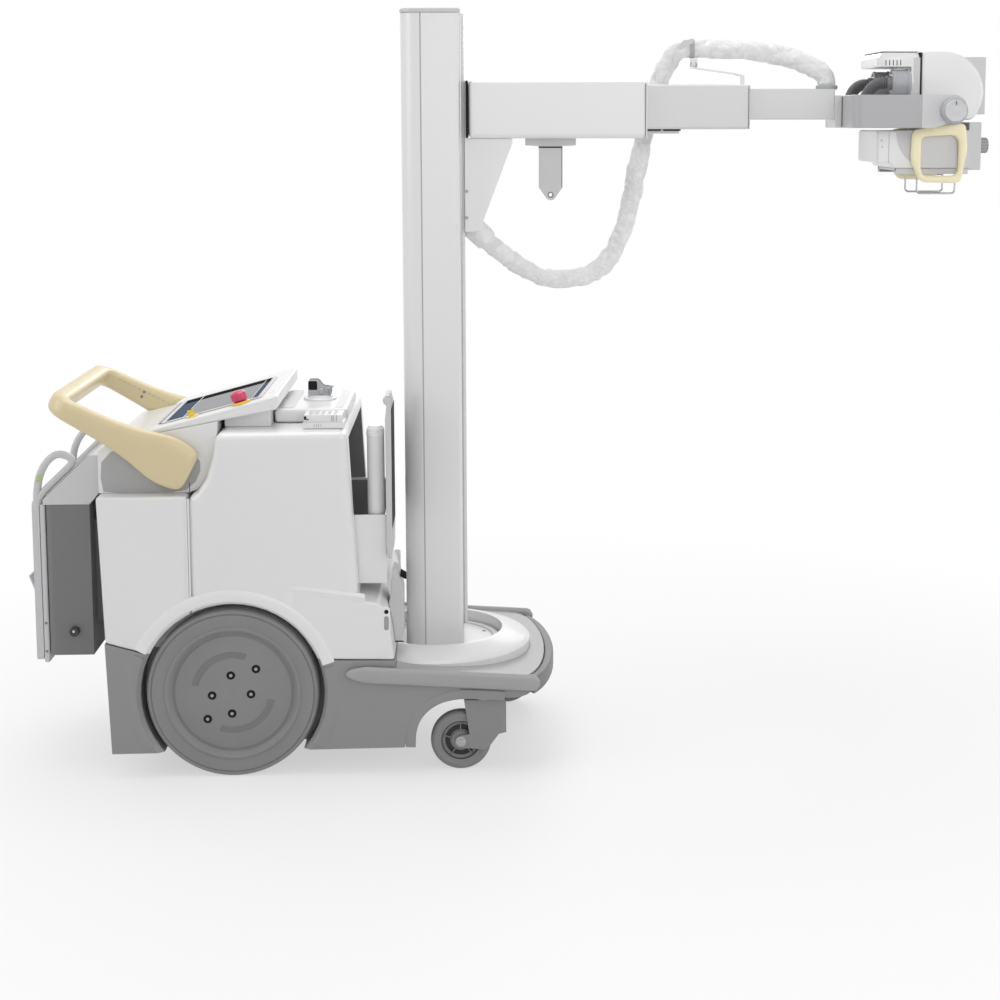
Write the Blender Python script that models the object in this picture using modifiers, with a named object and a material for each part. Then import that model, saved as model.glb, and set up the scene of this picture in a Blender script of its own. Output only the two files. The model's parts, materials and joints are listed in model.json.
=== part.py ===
# Mobile x-ray machine: a motor-driven cart with a turning column, a carriage that rides on it,
# a three-stage telescopic arm and a tube head in a fork. Metres, +Z up, +X towards the front.
# Places are written from the column's turning axis (x), the middle plane (y) and the floor (z).

import math

import bmesh
import bpy
from mathutils import Matrix, Vector

GAP = 0.0003  # between pieces that touch
RUNNING_GAP = 0.0006  # between telescoping or turning guides
WALL = 0.003  # sheet of bins and boxes
ROUND_ANGLE = math.radians(40)  # faces that meet more flatly than this are shaded as one

BASE_HALF = 0.290  # half the width of base and body; what stands on them follows it

# Wheels
WHEEL_R = 0.210
WHEEL_W = 0.060
WHEEL_X = -0.495
WHEEL_OUTER_Y = BASE_HALF - 0.005
WHEEL_BORE = 0.0205
AXLE_R = 0.020
ARCH_GAP = 0.0135
ARCH_CHAMFER = 0.012

# Casters
CASTER_R = 0.075
CASTER_W = 0.034
CASTER_X = 0.1215
CASTER_Y = BASE_HALF - 0.040
CASTER_TRAIL = 0.060
CASTER_TOP = 0.181
CASTER_PLATE = 0.004
CASTER_SIDE_GAP = 0.005
CASTER_PIN_R = 0.006

# Grey base
BASE_REAR = -0.790
BASE_CLEAR = 0.063
SKIRT_FRONT = -0.077
BELLY_Z = 0.190
DECK_FRONT = 0.277
DECK_T = 0.018
DECK_Z = 0.2588  # top of the deck at the column's axis
DECK_SLOPE = 0.0787
BUMPER_T = 0.024
RAIL_Y = BASE_HALF + 0.015

# Turning column
RING_R = 0.240
RING_HOLE = 0.168
RING_TOP = 0.290
TABLE_R = 0.160
TABLE_TOP = 0.262
TABLE_T = 0.0225
WELL_CLEAR = 0.005
COLUMN_REAR = -0.079
COLUMN_FRONT = 0.068
COLUMN_HALF = 0.090
COLUMN_TOP = 1.877
CAP_T = 0.012
GUIDE_T = 0.010
GUIDE_HALF = 0.045
COLUMN_CLEAR = 0.118  # what stands beside the column stays outside this radius

# White body
BODY_HALF = BASE_HALF
BODY_REAR_TOP = 0.703
BODY_TOP = 0.857
BODY_SEAM_X = -0.5935
BODY_FOOT_X = -0.356
BODY_FRONT_X = -0.209
BODY_EDGE = 0.020
RECESS_HALF = BODY_HALF - 0.055
RECESS_X = -0.270
RECESS_Z = 0.4672
RECESS_TOP = 0.835
BATTERY = (0.220, 0.340, 0.330)
BATTERY_X = -0.4745
BATTERY_Z = 0.245

# Console, handle and what lies on top
CONSOLE_HALF = BODY_HALF - 0.046
CONSOLE_REAR = -0.690
CONSOLE_FRONT = -0.378
CONSOLE_TOP_Z = 0.8573  # top plane at the rear edge
CONSOLE_TILT = 0.267
CONSOLE_UNDER_Z = 0.846
CONSOLE_UNDER_TILT = 0.193
SCREEN_T = 0.002
PLINTH_HALF = BODY_HALF - 0.045
PLINTH_REAR = -0.812
HANDLE_THICK = 0.038
HANDLE_HALF = PLINTH_HALF + GAP + HANDLE_THICK / 2
COVER_HALF = 0.155
COVER_TOP = 0.893

# Rear bin
BIN_HALF = BODY_HALF - 0.075
BIN_REAR = -0.952
BIN_FRONT = -0.842
BIN_LOW = 0.292
BIN_TOP = 0.669
PANEL_HALF = BIN_HALF - 0.010
PANEL_T = 0.0175
HOLDER_T = 0.014

# Front box and what stands in it
BOX_HALF = RECESS_HALF - 0.005
BOX_REAR = -0.262
BOX_FRONT = -0.1185
BOX_TOP = 0.6378

# Carriage and telescopic arm
PLATE_T = 0.0092
ARM_HALF = 0.075
ARM_TOP = 1.701
ARM_LOW = 1.557
ARM_FRONT = 0.532
MID_HALF = 0.058
MID_TOP = 1.691
MID_LOW = 1.5795
MID_REAR = 0.400
MID_FRONT = 0.793
INNER_HALF = 0.042
INNER_TOP = 1.681
INNER_LOW = 1.6036
INNER_REAR = 0.690
INNER_FRONT = 1.0295
ARM_TRAVEL = 0.170  # of each of the two sliding stages
BRACKET_LOW = 1.3235
TONGUE_X = 0.2955
TONGUE_W = 0.059
TONGUE_T = 0.020
TONGUE_TIP = 1.400

# Fork and tube head
FORK_REAR = 1.030
FORK_T = 0.022
FORK_TOP = 1.664
FORK_LOW = 1.5825
TILT_X = 1.276
TILT_Z = 1.625
HEAD_HALF = 0.125
FORK_HALF = HEAD_HALF + 0.065
HEAD_TOP = 1.771
HEAD_LOW = 1.602
HEAD_REAR = 1.108
CABLE_BOX_LENGTH = 0.1033
HEAD_SEAM = HEAD_REAR + CABLE_BOX_LENGTH
HEAD_FRONT = 1.370
BEAM_X = 1.270
COLLIMATOR_TOP = 1.577
COLLIMATOR_REAR = HEAD_REAR  # turned by a quarter it still passes between the fork's arms
COLLIMATOR_LOW = 1.483
COLLIMATOR_FRONT = 1.341
COLLIMATOR_HALF = HEAD_HALF - 0.015
KNOB_END = 1.411
FLAP_REAR = -1.0245

CENTRE_X = (KNOB_END + FLAP_REAR) / 2  # the frame's origin lies on the floor below this point

FINISHES = {  # colour, roughness, metallic
    "white": ((0.86, 0.86, 0.86), 0.35, 0.0),
    "light_grey": ((0.66, 0.66, 0.67), 0.45, 0.0),
    "base_grey": ((0.36, 0.36, 0.37), 0.5, 0.0),
    "bin_grey": ((0.22, 0.22, 0.23), 0.5, 0.0),
    "cream": ((0.86, 0.76, 0.50), 0.4, 0.0),
    "fork_grey": ((0.55, 0.55, 0.56), 0.4, 0.2),
    "wheel_grey": ((0.28, 0.28, 0.29), 0.6, 0.0),
    "dark": ((0.06, 0.06, 0.065), 0.5, 0.0),
    "screen": ((0.05, 0.07, 0.10), 0.1, 0.0),
    "red": ((0.75, 0.04, 0.08), 0.35, 0.0),
    "steel": ((0.62, 0.62, 0.63), 0.25, 1.0),
    "sleeve": ((0.85, 0.85, 0.86), 0.8, 0.0),
    "cable": ((0.16, 0.16, 0.17), 0.6, 0.0),
}

# Each moving body, the body that carries it, and a point on its joint's axis
BODIES = {
    "chassis": (None, (0, 0, 0)),
    "wheel_left": ("chassis", (WHEEL_X, WHEEL_OUTER_Y, WHEEL_R)),
    "wheel_right": ("chassis", (WHEEL_X, -WHEEL_OUTER_Y, WHEEL_R)),
    "caster_left": ("chassis", (CASTER_X, CASTER_Y, CASTER_TOP)),
    "caster_right": ("chassis", (CASTER_X, -CASTER_Y, CASTER_TOP)),
    "caster_wheel_left": ("caster_left", (CASTER_X + CASTER_TRAIL, CASTER_Y, CASTER_R)),
    "caster_wheel_right": ("caster_right", (CASTER_X - CASTER_TRAIL, -CASTER_Y, CASTER_R)),
    "column": ("chassis", (0, 0, TABLE_TOP)),
    "carriage": ("column", (COLUMN_FRONT, 0, ARM_LOW)),
    "arm_mid": ("carriage", (MID_FRONT, 0, (MID_TOP + MID_LOW) / 2)),
    "arm_inner": ("arm_mid", (INNER_FRONT, 0, (INNER_TOP + INNER_LOW) / 2)),
    "fork": ("arm_inner", (FORK_REAR, 0, TILT_Z)),
    "head": ("fork", (TILT_X, 0, TILT_Z)),
    "collimator": ("head", (BEAM_X, 0, COLLIMATOR_TOP)),
}

body_of = {}


# Scene and materials

for old in list(bpy.data.objects):
    bpy.data.objects.remove(old, do_unlink=True)

machine = bpy.data.collections.new("mobile_xray_machine")
tools = bpy.data.collections.new("cutters")
bpy.context.scene.collection.children.link(machine)
bpy.context.scene.collection.children.link(tools)

materials = {}
for finish, (colour, roughness, metallic) in FINISHES.items():
    made = bpy.data.materials.new(finish)
    made.use_nodes = True
    shader = made.node_tree.nodes["Principled BSDF"]
    shader.inputs["Base Color"].default_value = (*colour, 1)
    shader.inputs["Roughness"].default_value = roughness
    shader.inputs["Metallic"].default_value = metallic
    made.diffuse_color = (*colour, 1)
    materials[finish] = made


# Ways of making a piece

PLANES = {  # turns a flat drawing's x, y and depth to the machine's axes
    "XY": Matrix.Identity(4),
    "XZ": Matrix.Rotation(math.pi / 2, 4, "X"),
    "YZ": Matrix.Rotation(math.pi / 2, 4, "Z") @ Matrix.Rotation(math.pi / 2, 4, "X"),
}
TURNS = {
    "Z": Matrix.Identity(4),
    "X": Matrix.Rotation(math.pi / 2, 4, "Y"),
    "Y": Matrix.Rotation(-math.pi / 2, 4, "X"),
    "-Y": Matrix.Rotation(math.pi / 2, 4, "X"),
}


def place(name, mesh, finish, body):
    ob = bpy.data.objects.new(name, mesh)
    machine.objects.link(ob)
    if not mesh.materials:
        mesh.materials.append(materials[finish])
    if mesh.polygons:
        mesh.shade_smooth()
        mesh.set_sharp_from_angle(angle=ROUND_ANGLE)
    body_of[name] = body
    return ob


def mesh_from(bm, name):
    bmesh.ops.recalc_face_normals(bm, faces=bm.faces)
    mesh = bpy.data.meshes.new(name)
    bm.to_mesh(mesh)
    bm.free()
    return mesh


def box(name, low, high, finish, body="chassis", bevel=0.0, segments=2):
    bm = bmesh.new()
    bmesh.ops.create_cube(bm, size=1)
    for vert in bm.verts:
        vert.co = [(a + b) / 2 + c * (b - a) for a, b, c in zip(low, high, vert.co)]
    ob = place(name, mesh_from(bm, name), finish, body)
    if bevel:
        round_edges(ob, bevel, segments)
    return ob


def mesh_of_curve(ob, name):
    """The curve's own shape as a welded mesh in the machine's axes; the curve is removed."""
    bpy.context.view_layer.update()
    graph = bpy.context.evaluated_depsgraph_get()
    mesh = bpy.data.meshes.new_from_object(ob.evaluated_get(graph))
    mesh.transform(ob.matrix_world)
    curve = ob.data
    bpy.data.objects.remove(ob, do_unlink=True)
    bpy.data.curves.remove(curve)
    bm = bmesh.new()
    bm.from_mesh(mesh)
    bpy.data.meshes.remove(mesh)
    bmesh.ops.remove_doubles(bm, verts=bm.verts, dist=0.00001)
    bmesh.ops.dissolve_limit(bm, angle_limit=0.002, verts=bm.verts, edges=bm.edges)
    return mesh_from(bm, name)


def flat(name, outlines, plane, low, high, finish, body="chassis", bevel=0.0, segments=2):
    """A flat outline, or an outline and its holes, given a depth from low to high."""
    if not isinstance(outlines[0][0], (tuple, list)):
        outlines = [outlines]
    curve = bpy.data.curves.new(name, "CURVE")
    curve.dimensions = "2D"
    curve.fill_mode = "BOTH"
    curve.extrude = (high - low) / 2
    for outline in outlines:
        spline = curve.splines.new("POLY")
        spline.points.add(len(outline) - 1)
        spline.use_cyclic_u = True
        for point, (u, v) in zip(spline.points, outline):
            point.co = (u, v, 0, 1)
    ob = bpy.data.objects.new(name, curve)
    tools.objects.link(ob)
    depth = (low + high) / 2
    offset = {"XY": (0, 0, depth), "XZ": (0, depth, 0), "YZ": (depth, 0, 0)}[plane]
    ob.matrix_world = Matrix.Translation(offset) @ PLANES[plane]
    ob = place(name, mesh_of_curve(ob, name), finish, body)
    if bevel:
        round_edges(ob, bevel, segments)
    return ob


def turned(name, profile, at, axis, finish, body="chassis", steps=32, closed=False):
    """A profile of (radius, height) points, listed down its outer side, turned about an axis."""
    mesh = bpy.data.meshes.new(name)
    edges = [(i, i + 1) for i in range(len(profile) - 1)]
    if closed:
        edges.append((len(profile) - 1, 0))
    mesh.from_pydata([(r, 0, h) for r, h in profile], edges, [])
    ob = place(name, mesh, finish, body)
    ob.matrix_world = Matrix.Translation(at) @ TURNS[axis]
    screw = ob.modifiers.new("Turn", "SCREW")
    screw.steps = screw.render_steps = steps
    screw.use_merge_vertices = True
    screw.merge_threshold = 0.00001
    return ob


def cylinder(name, radius, low, high, at, axis, finish="dark", body="chassis", steps=32):
    """A plain round piece from low to high along its axis, measured from the point given."""
    profile = [(0, high), (radius, high), (radius, low), (0, low)]
    return turned(name, profile, at, axis, finish, body, steps)


def loft(name, sections, finish, body="chassis"):
    """Rings of points with the same count, joined in turn and closed at both ends."""
    bm = bmesh.new()
    rings = [[bm.verts.new(p) for p in section] for section in sections]
    for ring, following in zip(rings, rings[1:]):
        for i in range(len(ring)):
            j = (i + 1) % len(ring)
            bm.faces.new((ring[i], ring[j], following[j], following[i]))
    bm.faces.new(rings[0])
    bm.faces.new(reversed(rings[-1]))
    return place(name, mesh_from(bm, name), finish, body)


def smooth_route(points, step):
    """Evenly spaced points on the smooth curve through a route's own points."""
    route = [Vector(p) for p in points]
    route = [route[0] * 2 - route[1], *route, route[-1] * 2 - route[-2]]
    fine = []
    for a, b, c, d in zip(route, route[1:], route[2:], route[3:]):
        for i in range(12):
            t = i / 12
            fine.append(
                (2 * b + (c - a) * t + (2 * a - 5 * b + 4 * c - d) * t**2
                 + (3 * b - a - 3 * c + d) * t**3) / 2
            )
    fine.append(route[-2])
    length = sum((q - p).length for p, q in zip(fine, fine[1:]))
    count = max(2, round(length / step))
    made, walked, target = [fine[0]], 0.0, length / count
    for p, q in zip(fine, fine[1:]):
        part = (q - p).length
        while walked + part >= target and len(made) < count:
            made.append(p.lerp(q, (target - walked) / part))
            target += length / count
        walked += part
    return [*made, fine[-1]]


def cord_route(points, step):
    """A smooth route between a cord's two straight ends."""
    return [points[0], *smooth_route(points[1:-1], step), points[-1]]


def tube(name, points, radius, finish, body="chassis", resolution=2, cyclic=False):
    curve = bpy.data.curves.new(name, "CURVE")
    curve.dimensions = "3D"
    curve.bevel_depth = radius
    curve.bevel_resolution = resolution
    curve.use_fill_caps = True
    spline = curve.splines.new("POLY")
    spline.points.add(len(points) - 1)
    spline.use_cyclic_u = cyclic
    for point, co in zip(spline.points, points):
        point.co = (*co, 1)
    ob = bpy.data.objects.new(name, curve)
    machine.objects.link(ob)
    curve.materials.append(materials[finish])
    body_of[name] = body
    return ob


def solid_tube(name, points, radius, finish, body="chassis", resolution=2):
    """A bent wire or rod as a mesh, so that it can be joined or cut."""
    ob = tube(name + "_route", points, radius, finish, body, resolution)
    body_of.pop(ob.name)
    return place(name, mesh_of_curve(ob, name), finish, body)


def round_edges(ob, width, segments=2, angle=30):
    bevel = ob.modifiers.new("Round", "BEVEL")
    bevel.limit_method = "ANGLE"
    bevel.angle_limit = math.radians(angle)
    bevel.width = width
    bevel.segments = segments


def combine(ob, other, operation):
    """Cuts, joins or trims one piece by another, which becomes a helper that isn't built."""
    boolean = ob.modifiers.new(other.name, "BOOLEAN")
    boolean.operation = operation
    boolean.solver = "EXACT"
    boolean.object = other
    machine.objects.unlink(other)
    tools.objects.link(other)
    other.hide_render = True
    other.display_type = "WIRE"
    body_of[other.name] = body_of[ob.name]
    return ob


def cut(ob, other):
    return combine(ob, other, "DIFFERENCE")


def join(ob, other):
    return combine(ob, other, "UNION")


def trim(ob, other):
    return combine(ob, other, "INTERSECT")


def arc(centre, radius, start, end, count):
    """Points on an arc, by angles in degrees."""
    made = []
    for i in range(count):
        angle = math.radians(start + (end - start) * i / (count - 1))
        made.append((centre[0] + radius * math.cos(angle), centre[1] + radius * math.sin(angle)))
    return made


def mirrored(half):
    """A closed outline from its half with y at or above zero, listed from front to rear."""
    return [*half, *[(x, -y) for x, y in reversed(half) if y > 0]]


SIDES = (("left", 1), ("right", -1))


# Grey base with its wheel wells, deck, bumper and rails

JOINT_LINE = [(-0.800, 0.340), (-0.690, 0.309), (-0.300, 0.292), (-0.0985, 0.289)]
FOOT_FRONT_X, FOOT_LOW_Z = JOINT_LINE[-1]
ARCH_R = WHEEL_R + ARCH_GAP
WELL_INNER_Y = WHEEL_OUTER_Y - WHEEL_W - 0.010
DECK_CORNER_X = 0.195
FAR = 0.400  # past every side of the base, for helpers


def deck_z(x):
    return DECK_Z - DECK_SLOPE * x


def deck_edge(grow, reach=90, count=9):
    """Half of the deck's curved front edge, from the middle round to the side."""
    made = []
    for i in range(count):
        t = math.radians(reach * i / (count - 1))
        x = DECK_CORNER_X + (DECK_FRONT - DECK_CORNER_X + grow) * math.cos(t)
        made.append((x, (BASE_HALF + grow) * math.sin(t)))
    return made


def deck_outline(grow=0.0, rear=FOOT_FRONT_X + GAP):
    return mirrored([*deck_edge(grow), (rear, BASE_HALF + grow)])


def wheel_well(owner, sign):
    """The round well that a drive wheel turns in, with its chamfered mouth at the body's side."""
    depth = BODY_HALF - WELL_INNER_Y
    beyond = 0.020
    profile = [
        (0, depth + beyond),
        (ARCH_R + ARCH_CHAMFER + beyond, depth + beyond),
        (ARCH_R, depth - ARCH_CHAMFER),
        (ARCH_R, 0),
        (0, 0),
    ]
    name = f"{owner.name}_well_{sign}"
    at = (WHEEL_X, sign * WELL_INNER_Y, WHEEL_R)
    cut(owner, turned(name, profile, at, "Y" if sign > 0 else "-Y", "dark", steps=48))


def build_base():
    under = DECK_T + GAP
    front_x = 0.060
    outline = [
        (BASE_REAR, BASE_CLEAR),
        (SKIRT_FRONT, BASE_CLEAR + 0.005),
        (SKIRT_FRONT + 0.008, 0.110),
        (SKIRT_FRONT + 0.022, 0.150),
        (SKIRT_FRONT + 0.045, 0.178),
        (SKIRT_FRONT + 0.080, BELLY_Z),
        (front_x, BELLY_Z),
        (front_x, deck_z(front_x) - under),
        (FOOT_FRONT_X, deck_z(FOOT_FRONT_X) - under),
        *reversed(JOINT_LINE),
    ]
    base = flat("base_frame", outline, "XZ", -BASE_HALF, BASE_HALF, "base_grey")
    front = flat("base_front", deck_outline(-0.002, 0.0), "XY", BELLY_Z, 0.300, "base_grey")
    above = [(-0.3, deck_z(-0.3) - under), (FAR, deck_z(FAR) - under), (FAR, FAR), (-0.3, FAR)]
    cut(front, flat("base_front_top", above, "XZ", -FAR, FAR, "dark"))
    join(base, front)
    for _, sign in SIDES:
        wheel_well(base, sign)
    well_z = TABLE_TOP - TABLE_T - WELL_CLEAR
    cut(base, cylinder("table_well", RING_HOLE, well_z, FAR, (0, 0, 0), "Z", steps=48))
    bore = cylinder("axle_bore", AXLE_R + GAP, -FAR, FAR, (WHEEL_X, 0, WHEEL_R), "Y", steps=24)
    cut(base, bore)
    length, width, _ = BATTERY
    low = (BATTERY_X - length / 2 - GAP, -width / 2 - GAP, BATTERY_Z - GAP)
    high = (BATTERY_X + length / 2 + GAP, width / 2 + GAP, FAR)
    cut(base, box("battery_tray", low, high, "dark"))
    round_edges(base, 0.005, 2, 40)


def build_deck():
    deck = flat("deck_plate", deck_outline(), "XY", BELLY_Z, 0.300, "light_grey")
    slab = [
        (-0.3, deck_z(-0.3) - DECK_T),
        (FAR, deck_z(FAR) - DECK_T),
        (FAR, deck_z(FAR)),
        (-0.3, deck_z(-0.3)),
    ]
    trim(deck, flat("deck_slab", slab, "XZ", -FAR, FAR, "dark"))
    cut(deck, cylinder("deck_hole", RING_R + GAP, 0.1, FAR, (0, 0, 0), "Z", steps=48))

    outer = deck_edge(BUMPER_T, 64)
    inner = deck_edge(GAP * 2, 64)
    strip = [*[(x, -y) for x, y in reversed(outer)], *outer[1:]]
    strip += [*reversed(inner), *[(x, -y) for x, y in inner[1:]]]
    bumper = flat("front_bumper", strip, "XY", BELLY_Z + 0.004, 0.300, "bin_grey")
    above = [(0, deck_z(0) - 0.002), (FAR, deck_z(FAR) - 0.002), (FAR, FAR), (0, FAR)]
    cut(bumper, flat("bumper_top", above, "XZ", -FAR, FAR, "dark"))
    round_edges(bumper, 0.005, 2, 40)

    profile = [
        (RING_HOLE, RING_TOP),
        (RING_HOLE + 0.012, RING_TOP),
        (RING_R - 0.010, RING_TOP - 0.018),
        (RING_R, RING_TOP - 0.028),
        (RING_R, BELLY_Z),
        (RING_HOLE, BELLY_Z),
    ]
    ring = turned("ring_cover", profile, (0, 0, 0), "Z", "white", steps=48, closed=True)
    under = [(-0.3, deck_z(-0.3) - DECK_T), (FAR, deck_z(FAR) - DECK_T), (FAR, 0.1), (-0.3, 0.1)]
    cut(ring, flat("ring_seat", under, "XZ", -FAR, FAR, "dark"))
    cut(ring, box("ring_behind", (-FAR, -FAR, 0.1), (FOOT_FRONT_X + GAP, FAR, FAR), "dark"))


def build_rails():
    slope = 0.064
    rear, front, half = -0.196, 0.236, 0.0205
    middle = 0.2580
    ends = [
        *arc((front, middle - slope * (front - rear)), half, -90, 90, 7),
        *arc((rear, middle), half, 90, 270, 7),
    ]
    for side, sign in SIDES:
        low, high = sorted((sign * (BASE_HALF + GAP), sign * RAIL_Y))
        flat(f"side_rail_{side}", ends, "XZ", low, high, "light_grey", bevel=0.005)


# Wheels and casters

def build_drive_wheels():
    disc = WHEEL_W - 0.006
    web = WHEEL_W - 0.020
    profile = [
        (0, disc),
        (0.138, disc),
        (0.142, disc - 0.006),
        (0.158, WHEEL_W - 0.002),
        (WHEEL_R - 0.012, WHEEL_W),
        (WHEEL_R - 0.003, WHEEL_W - 0.004),
        (WHEEL_R, WHEEL_W - 0.014),
        (WHEEL_R, 0.014),
        (WHEEL_R - 0.010, 0),
        (0.160, 0),
        (0.150, 0.030),
        (0.050, 0.030),
        (0.045, 0),
        (WHEEL_BORE, 0),
        (WHEEL_BORE, web),
        (0, web),
    ]
    for side, sign in SIDES:
        at = (WHEEL_X, sign * (WHEEL_OUTER_Y - WHEEL_W), WHEEL_R)
        axis = "Y" if sign > 0 else "-Y"
        turned(f"drive_wheel_{side}", profile, at, axis, "wheel_grey", f"wheel_{side}", 48)
    end = WHEEL_OUTER_Y - WHEEL_W + web - GAP
    collar_in, collar_out = WELL_INNER_Y, WHEEL_OUTER_Y - WHEEL_W - GAP
    collar_r = 0.040
    profile = [
        (0, end),
        (AXLE_R, end),
        (AXLE_R, collar_out),
        (collar_r, collar_out),
        (collar_r, collar_in + GAP),
        (AXLE_R, collar_in + GAP),
        (AXLE_R, -collar_in - GAP),
        (collar_r, -collar_in - GAP),
        (collar_r, -collar_out),
        (AXLE_R, -collar_out),
        (AXLE_R, -end),
        (0, -end),
    ]
    turned("drive_axle", profile, (WHEEL_X, 0, WHEEL_R), "Y", "steel", steps=24)


def build_casters():
    inner = CASTER_W / 2 + CASTER_SIDE_GAP
    outer = inner + CASTER_PLATE
    boss, boss_r = (0.006, 0.072), 0.019
    half, waist = 0.052, 0.094
    profile = [
        (CASTER_PIN_R + GAP, CASTER_W),
        (0.022, CASTER_W),
        (0.026, CASTER_W - 0.006),
        (0.048, CASTER_W - 0.006),
        (0.052, CASTER_W - 0.001),
        (CASTER_R - 0.008, CASTER_W - 0.001),
        (CASTER_R, CASTER_W - 0.009),
        (CASTER_R, 0.009),
        (CASTER_R - 0.008, 0.001),
        (0.052, 0.001),
        (0.048, 0.006),
        (0.026, 0.006),
        (0.022, 0),
        (CASTER_PIN_R + GAP, 0),
    ]
    for side, sign in SIDES:  # the far caster trails forwards, the near one backwards
        body = f"caster_{side}"

        def across(u, sign=sign):
            return CASTER_X + sign * u

        cheek = [
            (across(-half), CASTER_TOP),
            (across(-half), waist + 0.004),
            (across(-0.034), waist),
        ]
        cheek += [(across(u), z) for u, z in arc(boss, boss_r, 215, 300, 5)]
        cheek += [(across(u), z) for u, z in arc((CASTER_TRAIL, CASTER_R), 0.015, -80, 80, 7)]
        cheek += [(across(half - 0.013), waist), (across(half), CASTER_TOP)]
        low, high = CASTER_Y * sign - outer, CASTER_Y * sign + outer
        fork = flat(f"caster_fork_{side}", cheek, "XZ", low, high, "fork_grey", body)
        inside = (
            (CASTER_X - FAR, CASTER_Y * sign - inner, 0),
            (CASTER_X + FAR, CASTER_Y * sign + inner, CASTER_TOP - CASTER_PLATE),
        )
        cut(fork, box(f"caster_slot_{side}", *inside, "dark", body))
        foot = (CASTER_X, CASTER_Y * sign, 0)
        stem = cylinder(
            f"caster_stem_{side}", 0.014, CASTER_TOP - 0.002, BELLY_Z - GAP, foot, "Z", body=body
        )
        join(fork, stem)
        hub = (across(CASTER_TRAIL), CASTER_Y * sign, CASTER_R)
        pin_half = inner + CASTER_PLATE / 2
        pin = cylinder(
            f"caster_pin_{side}", CASTER_PIN_R, -pin_half, pin_half, hub, "Y", body=body, steps=16
        )
        join(fork, pin)
        at = (hub[0], hub[1] - CASTER_W / 2, hub[2])
        turned(
            f"caster_wheel_{side}", profile, at, "Y", "wheel_grey",
            f"caster_wheel_{side}", 32, closed=True,
        )


# White body

def joint_z(x):
    """Height of the line where the white body sits on the grey base."""
    for (xa, za), (xb, zb) in zip(JOINT_LINE, JOINT_LINE[1:]):
        if x <= xb:
            return za + (zb - za) * (x - xa) / (xb - xa) + GAP
    return JOINT_LINE[-1][1] + GAP


RIDGE_REAR_Z = 0.4697
RIDGE_SLOPE = 0.1644
BODY_BACK = [(-0.570, 0.712), (-0.548, 0.745), (-0.530, 0.800), (-0.522, BODY_TOP)]


def ridge_z(x):
    return RIDGE_REAR_Z - RIDGE_SLOPE * (x - BODY_FOOT_X)


def build_body():
    seam = 0.0008
    corner = JOINT_LINE[1][0]
    outline = [
        (-0.800, joint_z(-0.800)),
        (corner, joint_z(corner)),
        (BODY_SEAM_X - seam, joint_z(BODY_SEAM_X)),
        (BODY_SEAM_X - seam, BODY_REAR_TOP),
        (-0.8126, BODY_REAR_TOP),
    ]
    rear = flat("body_rear", outline, "XZ", -BODY_HALF, BODY_HALF, "white", bevel=0.010)

    front_low_x = -0.178
    main_outline = [
        (BODY_SEAM_X + seam, joint_z(BODY_SEAM_X)),
        (front_low_x, joint_z(front_low_x)),
        (BODY_FRONT_X, BODY_TOP),
        *reversed(BODY_BACK),
        (BODY_SEAM_X + seam, BODY_REAR_TOP - 0.003),
    ]
    main = flat(
        "body_main", main_outline, "XZ", -BODY_HALF, BODY_HALF, "white",
        bevel=BODY_EDGE, segments=3,
    )
    foot_space = [
        (BODY_FOOT_X - GAP, 0),
        (BODY_FOOT_X - GAP, ridge_z(BODY_FOOT_X) + GAP),
        (FAR, ridge_z(FAR) + GAP),
        (FAR, 0),
    ]
    cut(main, flat("foot_space", foot_space, "XZ", -FAR, FAR, "dark"))
    low, high = (RECESS_X, -RECESS_HALF, RECESS_Z), (FAR, RECESS_HALF, RECESS_TOP)
    cut(main, box("front_recess", low, high, "dark"))
    length, width, height = BATTERY
    low = (BATTERY_X - length / 2 - GAP, -width / 2 - GAP, 0.1)
    high = (BATTERY_X + length / 2 + GAP, width / 2 + GAP, BATTERY_Z + height + GAP)
    cut(main, box("battery_space", low, high, "dark"))

    foot_outline = [
        (BODY_FOOT_X, joint_z(BODY_FOOT_X)),
        (FOOT_FRONT_X, joint_z(FOOT_FRONT_X)),
        (-0.108, 0.360),
        (-0.118, 0.415),
        (-0.137, ridge_z(-0.137)),
        (BODY_FOOT_X, ridge_z(BODY_FOOT_X)),
    ]
    foot = flat("body_foot", foot_outline, "XZ", -BODY_HALF, BODY_HALF, "white", bevel=0.008)
    cut(foot, cylinder("foot_hollow", COLUMN_CLEAR, 0.1, 1.0, (0, 0, 0), "Z", steps=48))
    for ob in (rear, main, foot):
        for _, sign in SIDES:
            wheel_well(ob, sign)

    low = (BATTERY_X - length / 2, -width / 2, BATTERY_Z)
    box("battery_block", low, (low[0] + length, width / 2, BATTERY_Z + height), "dark")


def console_under(x):
    return CONSOLE_UNDER_Z + CONSOLE_UNDER_TILT * (x - CONSOLE_REAR)


def console_top(x):
    return CONSOLE_TOP_Z + CONSOLE_TILT * (x - CONSOLE_REAR)


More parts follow.
